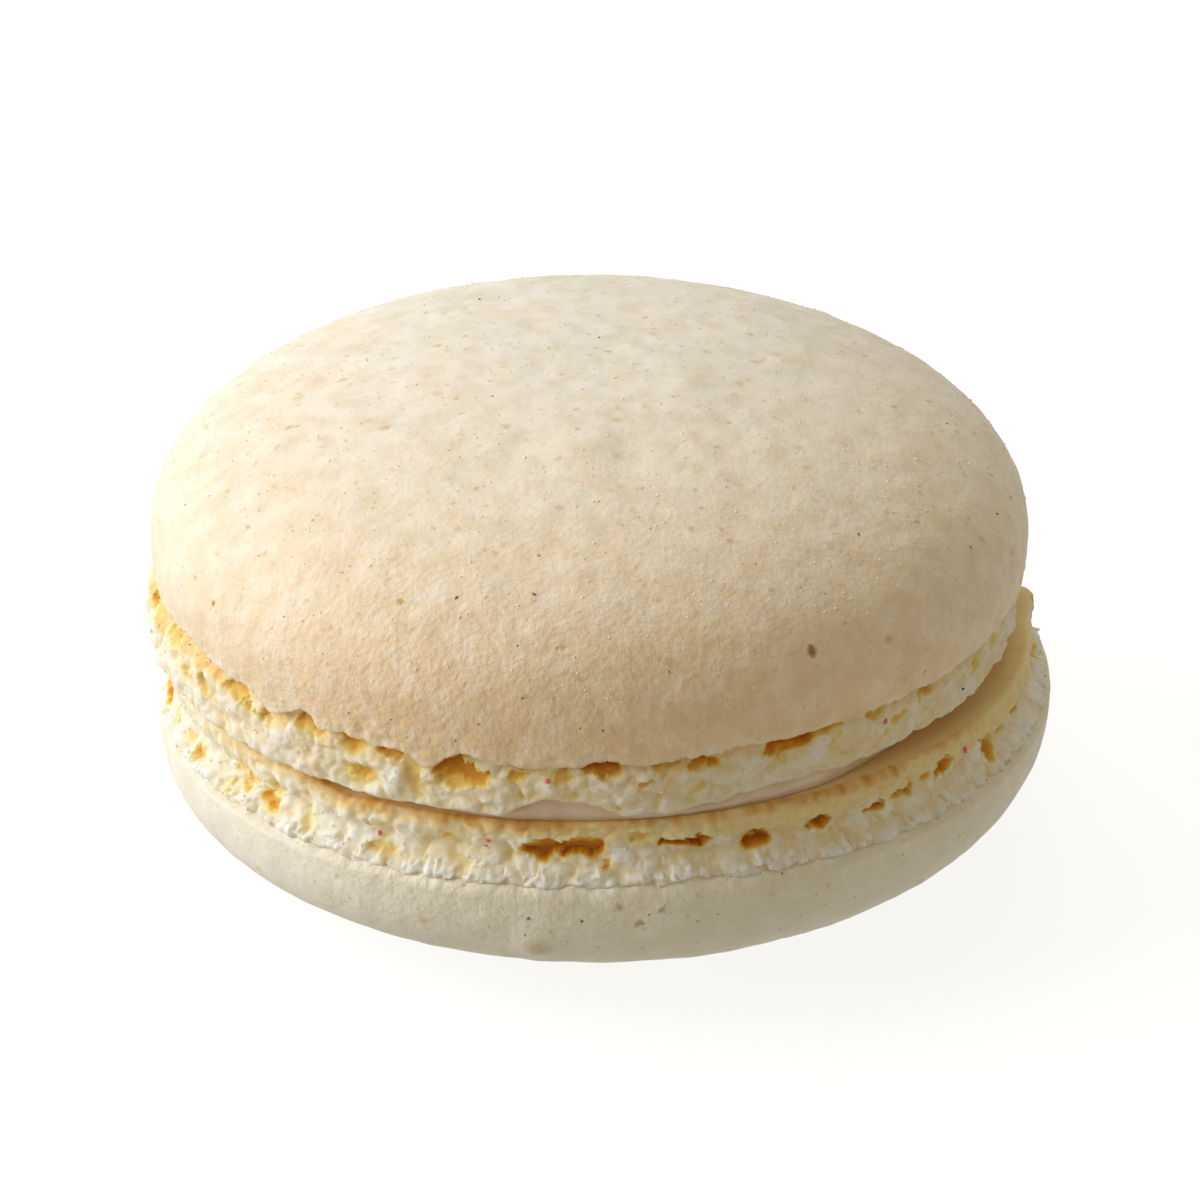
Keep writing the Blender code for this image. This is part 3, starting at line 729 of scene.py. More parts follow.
def foot_rows(lip, edge, shift, middle, hollows, groove, frill, bulge, calm, gold, seed):
    """Rings of a foot from the lip it hangs from to well inside its flat base, with its colour marks.

    The lip and the edge are pairs of radius and height for each column. The wall runs straight between them
    with a groove and a bulge, turns a rounded corner and goes inwards along the base. The crumb's relief
    moves each point outwards, fully on the wall and hardly on the baked base, and the hollows move it
    inwards. Frill is how far the flakes next to the lip stand out, and the wall behind them leans out too.
    Calm is the share of the relief that is missing where the foot is smooth. Gold is how far the wall's upper
    half has browned.
    """
    turn = column_turns(FOOT_COLUMNS)
    lip_radius, lip_height = lip
    edge_radius, edge_height = edge
    up = np.sign(edge_height - lip_height)
    share = np.linspace(0.0, 1.0, FOOT_STEPS)[:, None]
    groove_place, groove_depth, groove_width = groove
    dip = groove_depth * bell(share, groove_place, groove_width)
    swollen = bulge * np.sin(np.minimum(share / BULGE_FULL_AT, 1.0) * math.pi / 2)
    height = lip_height + (edge_height - up * FOOT_CORNER - lip_height) * share
    above_lip = np.abs(height - lip_height)
    teeth = frill * ramp(above_lip, 0.15, 0.55) * frill_teeth(turn, above_lip, LOWER_FOOT_RADIUS, seed + 40)
    leaning = FRILL_LEAN * frill * (1.0 - ramp(above_lip, 0.2, 1.0))
    radius = lip_radius + (edge_radius - lip_radius) * share - dip + swollen + leaning
    rough = (0.6 + 0.4 * ramp(share, 0.0, 0.16)) * (1.0 - calm)
    patchy = soft_noise(ring(LOWER_FOOT_RADIUS, height, turn, 0.0), 1.3, seed + 41)
    upper_half = np.where(up > 0, share, 1.0 - share)
    baked_and_shade = gold * ramp(upper_half + 0.22 * patchy, 0.45, 0.8)
    rings = [(radius, height, np.ones_like(radius), rough, teeth, baked_and_shade)]
    edge_radius = edge_radius + bulge
    for step in np.radians(CORNER_ANGLES):
        out = edge_radius - FOOT_CORNER * (1.0 - math.cos(step))
        rise = edge_height - up * FOOT_CORNER * (1.0 - math.sin(step))
        browned = np.maximum(baked_and_shade[-1:], np.where(up > 0, 1.0, 0.4) * math.sin(step) ** 2)
        rings.append((out, rise, math.cos(step), 0.75 - 0.5 * math.sin(step), 0.0, browned))
    for inset in BASE_INSETS:
        inner = edge_radius - inset
        level = base_height(inner, edge_height, middle, edge_radius)
        # The base is marked golder further in, as painted shade under the upper shell
        rings.append((inner, level, 0.0, BASE_ROUGHNESS, 0.0, 1.0 + 0.8 * ramp(inset, 0.6, 2.4)))
    none = np.zeros(FOOT_COLUMNS)
    parts = [np.concatenate([np.atleast_2d(part + none) for part in values]) for values in zip(*rings)]
    radius, height, outward, rough, teeth, baked_and_shade = parts
    points = ring(radius, height, turn, shift)
    depth = hollow_depth(points, turn, height, hollows, up, seed + 20) * (rough > LEAST_ROUGHNESS)
    cut = np.clip(depth / DEPTH_WITHOUT_CRUMB, 0.0, 1.0)
    crumb = crumb_relief(points, seed) + teeth * chips(points * (1, 1, 0.5), 0.4, seed + 42)
    relief = rough * crumb * (1.0 - 0.8 * cut)
    moved = relief + teeth * (1.0 - cut) - DEPTH_SHOWN * depth
    sideways = CRUMB_DRIFT * rough * soft_noise(points, 0.8, seed + 30)
    lifted = CRUMB_DRIFT * rough * soft_noise(points, 0.7, seed + 31)
    angle = np.radians(turn)
    points[..., 0] += np.sin(angle) * moved * outward + np.cos(angle) * sideways
    points[..., 1] += -np.cos(angle) * moved * outward + np.sin(angle) * sideways
    points[..., 2] += up * moved * (1.0 - outward) + lifted
    # A hollow's painted shade is its depth less what stands out of it, so it falls below 0 on raised flakes,
    # which get a painted highlight
    hollow_shade = np.clip(spread_out(depth) / DEEPEST - 0.7 * (relief + 0.03) - 0.5 * teeth, -0.2, 1.0)
    return list(points), list(hollow_shade), list(baked_and_shade)


def torn_wall(foot, hollow_shade):
    """The points of a foot's torn wall outside its hollows and clear of its rim, for crumbs to sit on."""
    torn = slice(0, FOOT_STEPS - CLEAR_OF_RIM)
    return np.concatenate(foot[torn])[np.concatenate(hollow_shade[torn]) < LEAST_HOLLOW]


def make_foot(name, material, under, foot, hollow_shade, baked_and_shade, over):
    """The foot's closed mesh with its colour marks, between the rings that close it below and above."""
    below, above = ([np.zeros(len(row)) for row in rows] for rows in (under, over))
    marks = {"hollow_shade": below + hollow_shade + above, "baked_and_shade": below + baked_and_shade + above}
    return make_piece(name, under + foot + over, material, marks)


def crumb_material(name, raised_highlight, pale, cream, rim):
    """Torn almond meringue: unbrowned crumb, matt and a little translucent, so its edges look soft.

    Raised flakes are painted palest, as a painted highlight. The deeper a place lies, the darker and more
    amber its painted shade, as the sugar tints the light that gets there: cream, then gold, then amber. The
    baked base is tan where it touched the mat and peach further in, where that is painted shade under the
    upper shell. A line of gold and brown runs along its rim, partly browned and partly painted shade where it
    runs in under the filling.
    """
    material, place = new_material(name)
    clots = {"Scale": 1 / (CRUMB_CLOT_WIDTH * MM), "Detail": 4.0, "Roughness": 0.6, "Vector": place}
    clots = add_node(material, "TexNoise", clots)["Fac"]
    hollow_shade = add_node(material, "Attribute", {"attribute_name": "hollow_shade"})["Fac"]
    baked_and_shade = add_node(material, "Attribute", {"attribute_name": "baked_and_shade"})["Fac"]
    uneven = add_node(material, "Math", {"operation": "MULTIPLY_ADD", 0: clots, 1: 0.7, 2: baked_and_shade})[0]
    browned = add_node(material, "Math", {"operation": "DIVIDE", 0: uneven, 1: MOST_BAKED})[0]
    browned = add_node(material, "ValToRGB", {"stops": ((0.28, rim), *BAKED_AND_SHADE_STOPS), "Fac": browned})["Color"]
    shade_tint = add_node(material, "ValToRGB", {"stops": HOLLOW_SHADE_STOPS, "Fac": hollow_shade})["Color"]
    coats = []
    # Coats: cream clots, a painted highlight on raised flakes, the baked colour with its painted shade at the
    # rim, and painted shade in hollows
    for value, start, end, coat in (
        (clots, 0.35, 0.65, cream),
        (hollow_shade, 0.02, -0.14, raised_highlight),
        (uneven, 0.6, 1.15, browned),
        (hollow_shade, 0.02, 0.18, shade_tint),
    ):
        share = add_node(material, "MapRange", {"Value": value, "From Min": start, "From Max": end})["Result"]
        coats.append((share, coat))
    pores = {"Scale": 1 / (CRUMB_PORE_WIDTH * MM), "Detail": 3.0, "Roughness": 0.7, "Vector": place}
    pores = add_node(material, "TexNoise", pores)["Fac"]
    bump = {"Strength": 0.35, "Distance": 0.05 * MM, "Height": pores}
    values = {
        "Base Color": lay_over(material, pale, coats),
        "Normal": add_node(material, "Bump", bump)["Normal"],
        "Roughness": 0.8,
        "IOR": 1.45,
        "Specular IOR Level": 0.2,
        "Subsurface Weight": 0.7,
        "Subsurface Radius": (1.0, 0.88, 0.7),
        "Subsurface Scale": 0.8 * MM,
    }
    add_node(material, "OutputMaterial", {"Surface": add_node(material, "BsdfPrincipled", values)["BSDF"]})
    return material


turn = column_turns(FOOT_COLUMNS)
foot, hollow_shade, baked_and_shade = foot_rows(
    (LOWER_LIP_RADIUS + 0.0 * turn, lower_lip_height(turn) - LOWER_FOOT_HIDDEN),
    (LOWER_FOOT_RADIUS + DRIP_OUT * swell(turn, DRIP_TURN, DRIP_WIDTH), lower_edge_height(turn)),
    LOWER_SHIFT,
    LOWER_BASE_MIDDLE,
    LOWER_HOLLOWS + unseen_hollows(lower_lip_height, lower_edge_height, 21),
    LOWER_GROOVE,
    LOWER_FRILL,
    bells(turn, LOWER_BULGE_SHAPES),
    bells(turn, LOWER_CALM_SHAPES),
    LOWER_GOLD + bells(turn, LOWER_GOLD_SHAPES),
    100,
)
along_rim = ring(LOWER_FOOT_RADIUS, 0.0, turn, 0.0)
rim_line = 0.75 + 0.3 * soft_noise(along_rim, 1.6, 161) + 0.2 * soft_noise(along_rim, 0.4, 162)
rim_line = bells(turn, RIM_LINE_SHAPES) * rim_line
drip_tip = bells(turn + 1.2 * soft_noise(along_rim, 0.7, 163), DRIP_TIP_SHAPES)
# The rings next to the rim, from the wall's last eight to the base's third, take the rim's line, partly
# painted shade, and the drip's tip
for row in range(-8, 7):
    line = min(ramp(row, -10, 2), 1.0 - ramp(row, 3, 7)) * rim_line
    tip = bell(row, -1, 3.5) * drip_tip
    baked_and_shade[FOOT_STEPS + row] = np.maximum(baked_and_shade[FOOT_STEPS + row], np.maximum(line, tip))
lower_foot_wall = torn_wall(foot, hollow_shade)
under = closing_rows(FOOT_COLUMNS, LOWER_LIP_RADIUS - 0.8, LOWER_EQUATOR, LOWER_SHIFT)[::-1]
over = closing_rows(CROWN_COLUMNS, LOWER_FOOT_RADIUS - BASE_HIDDEN_IN, LOWER_BASE_MIDDLE + 0.1, LOWER_SHIFT)
lower_crumb = crumb_material("Torn meringue crumb, lower", "#FFF8EC", "#FFF4E2", "#F6DEB2", "#F4DFA6")
lower_foot = make_foot("lower_foot", lower_crumb, under, foot, hollow_shade, baked_and_shade, over)
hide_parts("bottom_shell")


# The filling: a thin layer of vanilla cream, pressed out to just short of the feet. It is smooth and soft,
# pinkish cream in the shade between the shells, and sticks to both baked bases.
UPPER_SHIFT = -0.55
UPPER_FOOT_RADIUS = 21.95
UPPER_EDGE = 12.5
UPPER_BASE_MIDDLE = 12.9
UPPER_EDGE_SHAPES = ((-70, 55, 8, -1.1), (0, 19, 6, -0.45), (-3.5, 5.8, 4, 0.8))
FILLING_SETBACK = 0.5
FILLING_SETBACK_SHAPES = ((75, 38, 4, 2.0), (-75, 50, 4, 1.2))
FILLING_BULGE = 0.2
CREAM_STREAK_WIDTH = 1.6
# The radii of the rings on the filling's two faces, as shares of its rim's
FACE_SHARES = (0.97, 0.9, 0.75, 0.5, 0.25)
# How far the cream reaches into both baked bases, and the least gap between them that it fills
STICKS_IN = 0.08
LEAST_GAP = 0.2


def upper_edge_height(turn):
    """Height of the upper foot's lower edge: it hangs lower at the left and lifts at the front."""
    return UPPER_EDGE + bells(turn, UPPER_EDGE_SHAPES)


def filling_rows():
    """Rings of the filling from its underside's middle up: both faces follow the bases and the rim bulges."""

    def faces(radius, turn):
        low = base_height(radius, lower_edge_height(turn), LOWER_BASE_MIDDLE, LOWER_FOOT_RADIUS)
        high = base_height(radius, upper_edge_height(turn), UPPER_BASE_MIDDLE, UPPER_FOOT_RADIUS)
        return low - STICKS_IN, np.maximum(high, low + LEAST_GAP) + STICKS_IN

    def rim(turn):
        gap = upper_edge_height(turn) - lower_edge_height(turn)
        open_width = UPPER_BASE_MIDDLE - LOWER_BASE_MIDDLE
        share = np.minimum((open_width - LEAST_GAP) / np.maximum(open_width - gap, 0.1), 1.0) ** (1 / 3)
        uneven = 0.12 * soft_noise(ring(UPPER_FOOT_RADIUS, 0.0, turn, 0.0), 3.0, 301)
        setback = FILLING_SETBACK + bells(turn, FILLING_SETBACK_SHAPES)
        return np.minimum(UPPER_FOOT_RADIUS * share, UPPER_FOOT_RADIUS - setback) + uneven

    turn = column_turns(CROWN_COLUMNS)
    low, high = faces(rim(turn), turn)
    edge = []
    for step in np.linspace(-1.0, 1.0, 13):
        out = rim(turn) + FILLING_BULGE * (1 - step * step)
        row = ring(out, low + (high - low) * (step + 1) / 2, turn, 0.0)
        edge.append(row + ring(0.03 * soft_noise(row * (1, 1, 3), 1.2, 302), 0.0, turn, 0.0))
    lower, upper = [], []
    columns = CROWN_COLUMNS
    for share in FACE_SHARES:
        turn = column_turns(columns)
        low, high = faces(rim(turn) * share, turn)
        lower.append(ring(rim(turn) * share, low, turn, 0.0))
        upper.append(ring(rim(turn) * share, high, turn, 0.0))
        columns //= 2
    low, high = LOWER_BASE_MIDDLE - STICKS_IN, UPPER_BASE_MIDDLE + STICKS_IN
    return [np.array([[0.0, 0.0, low]]), *lower[::-1], *edge, *upper, np.array([[0.0, 0.0, high]])]


def cream_material():
    """Vanilla cream: butter and sugar whipped smooth, satin rather than dry, and slightly translucent."""
    material, place = new_material("Whipped vanilla cream")
    streaks = {"Scale": 1 / (CREAM_STREAK_WIDTH * MM), "Detail": 3.0, "Roughness": 0.5, "Vector": place}
    streaks = add_node(material, "TexNoise", streaks)["Fac"]
    stops = ((0.3, "#E6CDB0"), (0.5, "#EDD7C2"), (0.7, "#F3E1D1"))
    relief = {"Strength": 0.4, "Distance": 0.04 * MM, "Height": streaks}
    values = {
        "Base Color": add_node(material, "ValToRGB", {"stops": stops, "Fac": streaks})["Color"],
        "Normal": add_node(material, "Bump", relief)["Normal"],
        "Roughness": 0.42,
        "IOR": 1.46,
        "Subsurface Weight": 0.3,
        "Subsurface Radius": (1.0, 0.6, 0.4),
        "Subsurface Scale": 0.9 * MM,
    }
    add_node(material, "OutputMaterial", {"Surface": add_node(material, "BsdfPrincipled", values)["BSDF"]})
    return material


cream_layer = make_piece("cream_filling", filling_rows(), cream_material(), {})
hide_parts("filling")


# The upper foot: the torn skirt under the upper crown. Its caverns lie right under the lip, and its lower
# edge is a row of pale lumps over the filling.
upper_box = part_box("top_shell")
UPPER_RADIUS = (upper_box[1].y - upper_box[0].y) / 2 / MM
# How far the lumps of the dome rise over the top that it would have without them
LUMPS_OVER_TOP = 0.15
UPPER_TOP = upper_box[1].z / MM - LUMPS_OVER_TOP
UPPER_ROUNDNESS = 2.17
UPPER_EQUATOR = 17.05
UPPER_LIP_RADIUS = 22.35
UPPER_LIP_HEIGHT = 15.35
UPPER_CELL = 0.2
# How far in from the lip and above it the foot starts, and the groove close under the lip
UPPER_CREASE = 0.3
UPPER_FOOT_HIDDEN = 0.25
UPPER_GROOVE = (0.14, 0.25, 0.12)

# The lip hangs lower at the front left, with nubs of skin and with notches over the caverns: centre and
# half width in degrees, power, lift
UPPER_LIP_SHAPES = (
    (-19, 34, 4, -0.62),
    (-45, 1.8, 2, -0.55),
    (-39, 1.9, 2, 0.45),
    (-36.3, 0.8, 2, -0.25),
    (-21, 1.9, 2, -0.85),
    (-15.5, 2.6, 2, 0.4),
    (-8, 3.0, 2, -0.1),
    (1.2, 3.0, 2, 0.25),
)
UPPER_BULGE_SHAPES = ((-88, 30, 2, 0.75), (-2, 18, 4, 0.35))
UPPER_CALM_SHAPES = ((72, 20, 4, 0.1), (-66, 40, 4, 0.25))
UPPER_GOLD = 0.55
UPPER_GOLD_SHAPES = ((-74, 22, 4, 0.5), (-6, 16, 4, -0.35))

# Caverns and bowls of the upper foot that show: turn, height, width, tallness, depth, softness of the edge
UPPER_HOLLOWS = (
    (-86, 12.6, 1.6, 1.0, 0.5, SOFT),
    (-70, 14.3, 1.6, 0.9, 0.6, SHARP),
    (-65, 13.2, 0.9, 0.7, 0.5, SHARP),
    (-60, 13.4, 1.3, 0.95, 0.6, SHARP),
    (-53, 14.3, 2.0, 0.9, 0.7, SHARP),
    (-50, 13.9, 0.9, 0.8, 0.6, SHARP),
    (-47, 13.8, 1.2, 0.8, 0.6, SHARP),
    (-39, 14.4, 1.5, 1.0, 0.75, SHARP),
    (-37, 14.2, 0.6, 0.6, 0.8, SHARP),
    (-32, 14.2, 2.2, 1.0, 0.9, SOFT),
    (-30.8, 12.65, 1.95, 1.15, 0.9, SOFT),
    (-26, 14.3, 1.5, 0.8, 0.95, SHARP),
    (-23, 13.05, 1.6, 2.7, 0.6, SOFT),
    (-16.5, 13.95, 3.1, 1.7, 1.1, SHARP),
    (-9, 14.05, 1.0, 0.6, 0.7, SHARP),
    (-3.7, 14.15, 0.8, 0.6, 0.6, SHARP),
    (1.2, 14.8, 2.3, 0.9, 1.3, SHARP),
    (1.7, 14.3, 0.5, 0.6, 0.9, SHARP),
    (7.3, 13.9, 0.9, 0.75, 0.6, SOFT),
    (9.6, 14.7, 1.1, 0.9, 0.7, SHARP),
    (14.5, 14.6, 1.4, 0.8, 1.0, SHARP),
    (14, 13.3, 0.5, 0.5, 0.4, SOFT),
    (26.5, 14.8, 2.8, 0.9, 1.6, SHARP),
    (26, 13.85, 0.5, 0.9, 0.4, SOFT),
    (31.7, 15.0, 2.4, 0.6, 0.9, SHARP),
    (40, 14.85, 0.8, 0.5, 0.6, SHARP),
    (44.4, 14.1, 1.5, 0.7, 0.6, SOFT),
    (49.4, 14.7, 1.05, 0.65, 0.7, SHARP),
    (62, 14.0, 1.6, 1.0, 0.6, SOFT),
    (68, 14.4, 1.8, 1.1, 0.6, SOFT),
)


def upper_lip_height(turn):
    """Height of the upper crown's lip: lower at the front left, with its nubs and notches, and ragged."""
    rag = ring(UPPER_LIP_RADIUS, 0.0, turn, 0.0)
    uneven = 0.15 * soft_noise(rag, 1.6, 401) + 0.14 * soft_noise(rag, 0.7, 402) + 0.08 * chips(rag, 0.4, 403)
    return UPPER_LIP_HEIGHT + bells(turn, UPPER_LIP_SHAPES) + uneven


turn = column_turns(FOOT_COLUMNS)
edge_ring = ring(UPPER_FOOT_RADIUS, 0.0, turn, 0.0)
scallops = 0.16 * soft_noise(edge_ring, 1.2, 411) + 0.1 * soft_noise(edge_ring, 0.55, 412)
foot, hollow_shade, baked_and_shade = foot_rows(
    (UPPER_LIP_RADIUS - UPPER_CREASE + 0.0 * turn, upper_lip_height(turn) + UPPER_FOOT_HIDDEN),
    (UPPER_FOOT_RADIUS + 0.0 * turn, upper_edge_height(turn) + scallops),
    UPPER_SHIFT,
    UPPER_BASE_MIDDLE,
    UPPER_HOLLOWS + unseen_hollows(upper_lip_height, upper_edge_height, 22),
    UPPER_GROOVE,
    0.0,
    bells(turn, UPPER_BULGE_SHAPES),
    bells(turn, UPPER_CALM_SHAPES),
    UPPER_GOLD + bells(turn, UPPER_GOLD_SHAPES),
    200,
)
upper_foot_wall = torn_wall(foot, hollow_shade)
under = closing_rows(
    CROWN_COLUMNS, UPPER_FOOT_RADIUS - BASE_HIDDEN_IN, UPPER_BASE_MIDDLE - 0.1, UPPER_SHIFT
)[::-1]
over = closing_rows(FOOT_COLUMNS, UPPER_LIP_RADIUS - 2.6, UPPER_EQUATOR - 0.6, UPPER_SHIFT)
upper_crumb = crumb_material("Torn meringue crumb, upper", "#FFF3E4", "#FFEFD8", "#F9DEAE", "#F8D08A")
upper_foot = make_foot("upper_foot", upper_crumb, under, foot[::-1], hollow_shade[::-1], baked_and_shade[::-1], over)
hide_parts("top_shell")


# The upper crown: the smooth dome on top, piped and baked as the lower one is. Its skin ends in a thin
# ragged lip that overhangs the foot.
LIP_THICKNESS = 0.3
# The angles of the rings round the lip, from its underside up
LIP_ANGLES = (-70, -45, -20, 5)
# The crown's underside behind the lip: how far in from the lip each ring lies, and how far above it
UNDERSIDE = ((2.2, 0.75), (1.5, 0.6), (1.0, 0.45), (0.7, 0.3), (0.5, 0.18), (0.35, 0.08))
# The soft lumps and one dent of the dome: x, y, width, lift
UPPER_LUMPS = (
    (-0.9, -7.9, 1.7, 0.2),
    (1.3, -9.0, 1.3, -0.06),
    (3.7, -1.2, 2.8, 0.11),
    (-6.0, 3.5, 3.5, 0.12),
)
# The larger marks on the upper crown, pits and browned flecks of almond: place, radius, colour
UPPER_MARKS = (
    ((10.31, -18.88, 19.47), 0.33, "#A87E3E"),
    ((-9.69, -17.58, 21.48), 0.22, "#CCAC4C"),
    ((8.3, -19.7, 19.5), 0.12, "#8A744C"),
    ((-19.14, -12.2, 18.5), 0.2, "#B8953F"),
    ((-6.95, -17.98, 21.96), 0.11, "#6B5C45"),
    ((12.71, -12.38, 22.49), 0.1, "#3F382C"),
    ((0.81, -1.07, 25.7), 0.13, "#C98A3A"),
    ((20.78, -3.03, 19.82), 0.14, "#8E6246"),
    ((18.49, -9.32, 20.26), 0.13, "#93684B"),
    ((17.72, 0.19, 22.42), 0.13, "#93684B"),
    ((-2.97, -16.11, 23.29), 0.12, "#A79A45"),
    ((-5.07, -15.8, 23.24), 0.22, "#DDD09C"),
    ((-0.05, -12.58, 24.41), 0.11, "#A79A45"),
    ((-3.15, -18.31, 22.3), 0.13, "#8A7048"),
)


def upper_crown_rows():
    """Rings of the upper crown and their marks, from inside the foot up to the top of the dome.

    The underside slopes out to the lip, the lip is rounded, and over it the side rises to the widest ring.
    The dome over that is a superellipse with a few soft lumps, moved outwards by the skin's relief.
    """
    turn = column_turns(FOOT_COLUMNS)
    lip = upper_lip_height(turn)
    rows = closing_rows(FOOT_COLUMNS // 2, UPPER_LIP_RADIUS - 4.0, UPPER_EQUATOR - 1.0, UPPER_SHIFT)[::-1]
    torn = [np.zeros(len(row)) for row in rows]
    hollow_shade = [np.ones(len(row)) for row in rows]
    for inset, above in UNDERSIDE:
        row = ring(UPPER_LIP_RADIUS - inset, lip + above, turn, UPPER_SHIFT)
        row[:, 2] += 0.1 * soft_noise(row, 0.8, 421)
        rows.append(row)
        torn.append(np.full(len(row), 0.5))
        # Painted shade under the lip, deeper further in
        hollow_shade.append(np.full(len(row), min((inset - 0.3) / 1.2, 1.0)))
    for step in np.radians(LIP_ANGLES):
        out = UPPER_LIP_RADIUS - LIP_THICKNESS * 0.5 * (1.0 - math.cos(step))
        row = ring(out, lip + LIP_THICKNESS * 0.5 * (1.0 + math.sin(step)), turn, UPPER_SHIFT)
        rows.append(row + ring(lip_rag(row, 422), 0.0, turn, 0.0))
        torn.append(ramp(soft_noise(row, 0.9, 424), -0.3, 0.4) * 0.8)
        hollow_shade.append(np.zeros(len(row)))
    lip_top = lip + LIP_THICKNESS * 0.55
    for share in np.linspace(0.05, 1.0, 15):
        row_turn, row_lip = (turn, lip_top) if share < 0.5 else (turn[::2], lip_top[::2])
        full = UPPER_LIP_RADIUS + (UPPER_RADIUS - UPPER_LIP_RADIUS) * math.sin(share * math.pi / 2)
        row = ring(full, row_lip + (UPPER_EQUATOR - row_lip) * share, row_turn, UPPER_SHIFT)
        relief = skin_relief(row, 31) + (1.0 - share) ** 2 * lip_rag(row, 422)
        rows.append(row + ring(relief, 0.0, row_turn, 0.0))
        torn.append(ramp(0.25 - share + 0.2 * soft_noise(row, 1.0, 424), 0.0, 0.3))
        hollow_shade.append(np.zeros(len(row)))
    height = UPPER_TOP - UPPER_EQUATOR
    for radius, fallen, columns in crown_steps(UPPER_RADIUS, height, UPPER_ROUNDNESS, UPPER_CELL)[::-1][1:]:
        turn = column_turns(columns)
        row = ring(radius, UPPER_EQUATOR + height * (1.0 - fallen), turn, UPPER_SHIFT)
        outward = ring(fallen + 0.0 * turn, 1.0 - fallen, turn, 0.0)
        outward /= np.linalg.norm(outward, axis=1, keepdims=True)
        row = row + outward * skin_relief(row, 31)[:, None]
        for x, y, width, lift in UPPER_LUMPS:
            row[:, 2] += lift * bell(np.hypot(row[:, 0] - x, row[:, 1] - y), 0.0, width)
        rows.append(row)
        torn.append(np.zeros(len(row)))
        hollow_shade.append(np.zeros(len(row)))
    rows.append(np.array([[UPPER_SHIFT, 0.0, UPPER_TOP]]))
    return rows, torn + [np.zeros(1)], hollow_shade + [np.zeros(1)]


UPPER_TINTS = ("#F1EBDA", "#F8F2E4", "#F9EDDA")
UPPER_BROWNING = ("#F8D3A0", 27.0, 9.6, 0.2, 0.0, 0.4)
upper_skin = crown_skin(
    "Baked almond meringue skin, upper", UPPER_TINTS, "#E4CCA2", UPPER_BROWNING, UPPER_MARKS
)
rows, torn, hollow_shade = upper_crown_rows()
upper_crown = make_piece("upper_crown", rows, upper_skin, {"torn": torn, "hollow_shade": hollow_shade})
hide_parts("top_shell")


# Grains and specks: what the sugar, the almond and the vanilla left on the surface. Pale grains stand on the
# crowns, torn crumbs cling to the feet, and black vanilla seeds and a few red specks are stuck among them.
SKIN_GRAINS = 900
TORN_CRUMBS = 700
GRAIN_LEAST, GRAIN_MOST = 0.035, 0.075
CRUMB_LEAST, CRUMB_MOST = 0.04, 0.1
SEED_LEAST, SEED_MOST = 0.05, 0.08
RED_LEAST, RED_MOST = 0.14, 0.18

# The seeds and red specks that show on the feet: turn and height
SEEDS_SEEN = ((-14.8, 9.7), (94.3, 9.2), (57.6, 12.6))
RED_SEEN = ((-30.1, 9.25), (-14.6, 10.5), (56.5, 11.4))
# The ones at random places besides
MORE_SEEDS_ON_FEET, MORE_SEEDS_ON_CROWN, MORE_RED = 10, 5, 3


def place_nearest(points, spots):
    """The point nearest to each spot, a turn and a height, measured along the wall."""
    turn = np.degrees(np.arctan2(points[:, 0], -points[:, 1]))
    found = []
    for spot_turn, spot_height in spots:
        along = apart(turn, spot_turn) * math.radians(LOWER_FOOT_RADIUS)
        found.append(points[np.argmin(np.hypot(along, points[:, 2] - spot_height))])
    return np.array(found)


def scatter(name, places, least, most, seed, material):
    """Tiny lumps half sunk in the surface at these places: each is a ball of twenty faces made uneven.

    A lump's radius is drawn between the least and the most, and its three widths and its corners vary too.
    """
    draw = np.random.default_rng(seed)
    ball = bmesh.new()
    bmesh.ops.create_icosphere(ball, subdivisions=1, radius=1.0)
    ball.verts.index_update()
    corners = np.array([corner.co for corner in ball.verts])
    faces = np.array([[corner.index for corner in face.verts] for face in ball.faces])
    ball.free()
    widths = draw.uniform(least, most, (len(places), 1, 1)) * draw.uniform(0.65, 1.25, (len(places), 1, 3))
    points = places[:, None] + corners * widths * draw.uniform(0.8, 1.2, (len(places), len(corners), 1))
    starts = np.arange(len(places))[:, None, None] * len(corners)
    mesh = bpy.data.meshes.new(name)
    mesh.from_pydata((points * MM).reshape(-1, 3).tolist(), [], (faces + starts).reshape(-1, 3).tolist())
    mesh.shade_smooth()
    add_piece(name, mesh, material)


def speck_material(name, dark, light, roughness):
    """A speck's own colour, from dark to light over a fraction of a millimetre: dry and dull."""
    material, place = new_material(name)
    noise = add_node(material, "TexNoise", {"Scale": 1 / (0.3 * MM), "Detail": 2.0, "Vector": place})["Fac"]
    tint = add_node(material, "ValToRGB", {"stops": ((0.35, dark), (0.65, light)), "Fac": noise})["Color"]
    shader = add_node(material, "BsdfPrincipled", {"Base Color": tint, "Roughness": roughness, "IOR": 1.5})
    add_node(material, "OutputMaterial", {"Surface": shader["BSDF"]})
    return material


draw = np.random.default_rng(701)
dome = np.concatenate(rows)
dome = dome[dome[:, 2] > UPPER_EQUATOR + 0.5]
feet = np.concatenate([lower_foot_wall, upper_foot_wall])
sugar = speck_material("Sugar and ground almond", "#F4E6CC", "#FFFCF4", 0.45)
scatter("skin_grains", draw.choice(dome, SKIN_GRAINS), GRAIN_LEAST, GRAIN_MOST, 702, sugar)
crumb = speck_material("Loose meringue crumbs", "#F6E8CE", "#FFFDF6", 0.65)
scatter("torn_crumbs", draw.choice(feet, TORN_CRUMBS), CRUMB_LEAST, CRUMB_MOST, 703, crumb)
vanilla = speck_material("Vanilla seeds", "#231A12", "#4A3624", 0.6)
more_seeds = draw.choice(feet, MORE_SEEDS_ON_FEET), draw.choice(dome, MORE_SEEDS_ON_CROWN)
seeds = np.concatenate([place_nearest(feet, SEEDS_SEEN), *more_seeds])
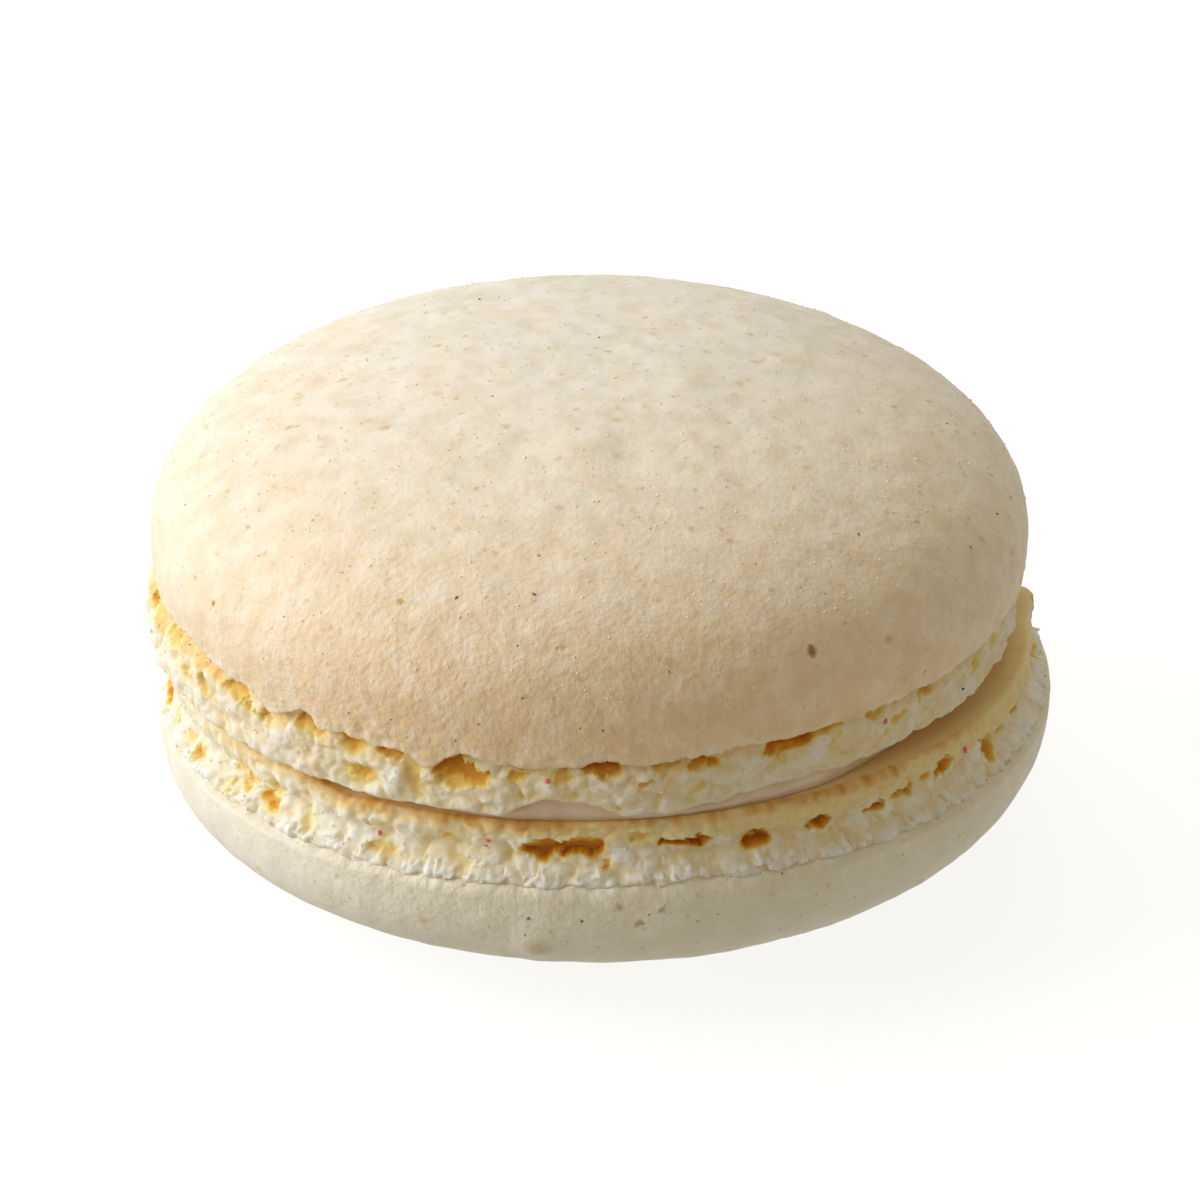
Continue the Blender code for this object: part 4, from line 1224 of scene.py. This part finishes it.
scatter("vanilla_seeds", seeds, SEED_LEAST, SEED_MOST, 704, vanilla)
red = speck_material("Red sugar specks", "#F2605C", "#F88E86", 0.5)
reds = np.concatenate([place_nearest(feet, RED_SEEN), draw.choice(feet, MORE_RED)])
scatter("red_specks", reds, RED_LEAST, RED_MOST, 705, red)


# The floor, the lights and the camera: a sweep of matt white paper, bright enough to come out pure white,
# under a softbox from the left and a weak one from behind. A long lens looks down on the macaron.
FLOOR_SIZE = 1.2
# What both lights are turned to, in metres
LIGHT_AIM = Vector((0, 0, 0.012))
# The camera: its angle over level, its distance from a point at this height over the origin, and its aim
EYE_HEIGHT = 28.0
EYE_DISTANCE = 350.0
EYE_ORIGIN_HEIGHT = 9.49
EYE_AIM = (0.0, 1.214, 11.772)
LENS = 202.7
half = FLOOR_SIZE / 2
corners = [(-half, -half, 0), (half, -half, 0), (half, half, 0), (-half, half, 0)]
floor_mesh = bpy.data.meshes.new("floor")
floor_mesh.from_pydata(corners, [], [(0, 1, 2, 3)])
floor = bpy.data.objects.new("floor", floor_mesh)
bpy.context.scene.collection.objects.link(floor)
paper, place = new_material("Matt white paper")
fibres = add_node(paper, "TexNoise", {"Scale": 1 / (30 * MM), "Detail": 2.0, "Vector": place})["Fac"]
white = add_node(paper, "ValToRGB", {"stops": ((0.3, "#9C9C9A"), (0.7, "#A0A09E")), "Fac": fibres})["Color"]
glow = {"Emission Color": "#FFFFFF", "Emission Strength": 0.8}
sheet = add_node(paper, "BsdfPrincipled", {"Base Color": white, "Roughness": 0.9, **glow})["BSDF"]
add_node(paper, "OutputMaterial", {"Surface": sheet})
floor_mesh.materials.append(paper)
# The sweep lies well below the light's reach in the photo, so it throws no light back up at the macaron
floor.visible_diffuse = False

world = bpy.data.worlds.new("Studio")
bpy.context.scene.world = world
world.use_nodes = True
world.node_tree.nodes["Background"].inputs["Color"].default_value = linear("#F4EBD4")
world.node_tree.nodes["Background"].inputs["Strength"].default_value = 0.4


def soft_light(name, place, size, power, colour):
    """A square softbox at this place in metres, turned towards the macaron, with its power in watts."""
    data = bpy.data.lights.new(name, "AREA")
    data.shape = "SQUARE"
    data.size = size
    data.energy = power
    data.color = linear(colour)[:3]
    lamp = bpy.data.objects.new(name, data)
    lamp.location = place
    lamp.rotation_euler = (LIGHT_AIM - Vector(place)).to_track_quat("-Z", "Y").to_euler()
    bpy.context.scene.collection.objects.link(lamp)


soft_light("window", (-0.4, 0.0, 0.19), 0.4, 1.95, "#FAFBFF")
soft_light("sky", (-0.06, 0.24, 0.36), 0.4, 0.54, "#F8FBFF")

camera = bpy.data.objects.new("camera", bpy.data.cameras.new("camera"))
camera.data.lens = LENS
camera.data.sensor_width = 36.0
camera.data.clip_start = 0.01
rise = math.radians(EYE_HEIGHT)
eye = Vector((0.0, -EYE_DISTANCE * math.cos(rise), EYE_ORIGIN_HEIGHT + EYE_DISTANCE * math.sin(rise))) * MM
aim = Vector(EYE_AIM) * MM
camera.location = eye
camera.rotation_euler = (aim - eye).to_track_quat("-Z", "Y").to_euler()
bpy.context.scene.collection.objects.link(camera)
bpy.context.scene.camera = camera
bpy.context.scene.view_settings.view_transform = "Standard"
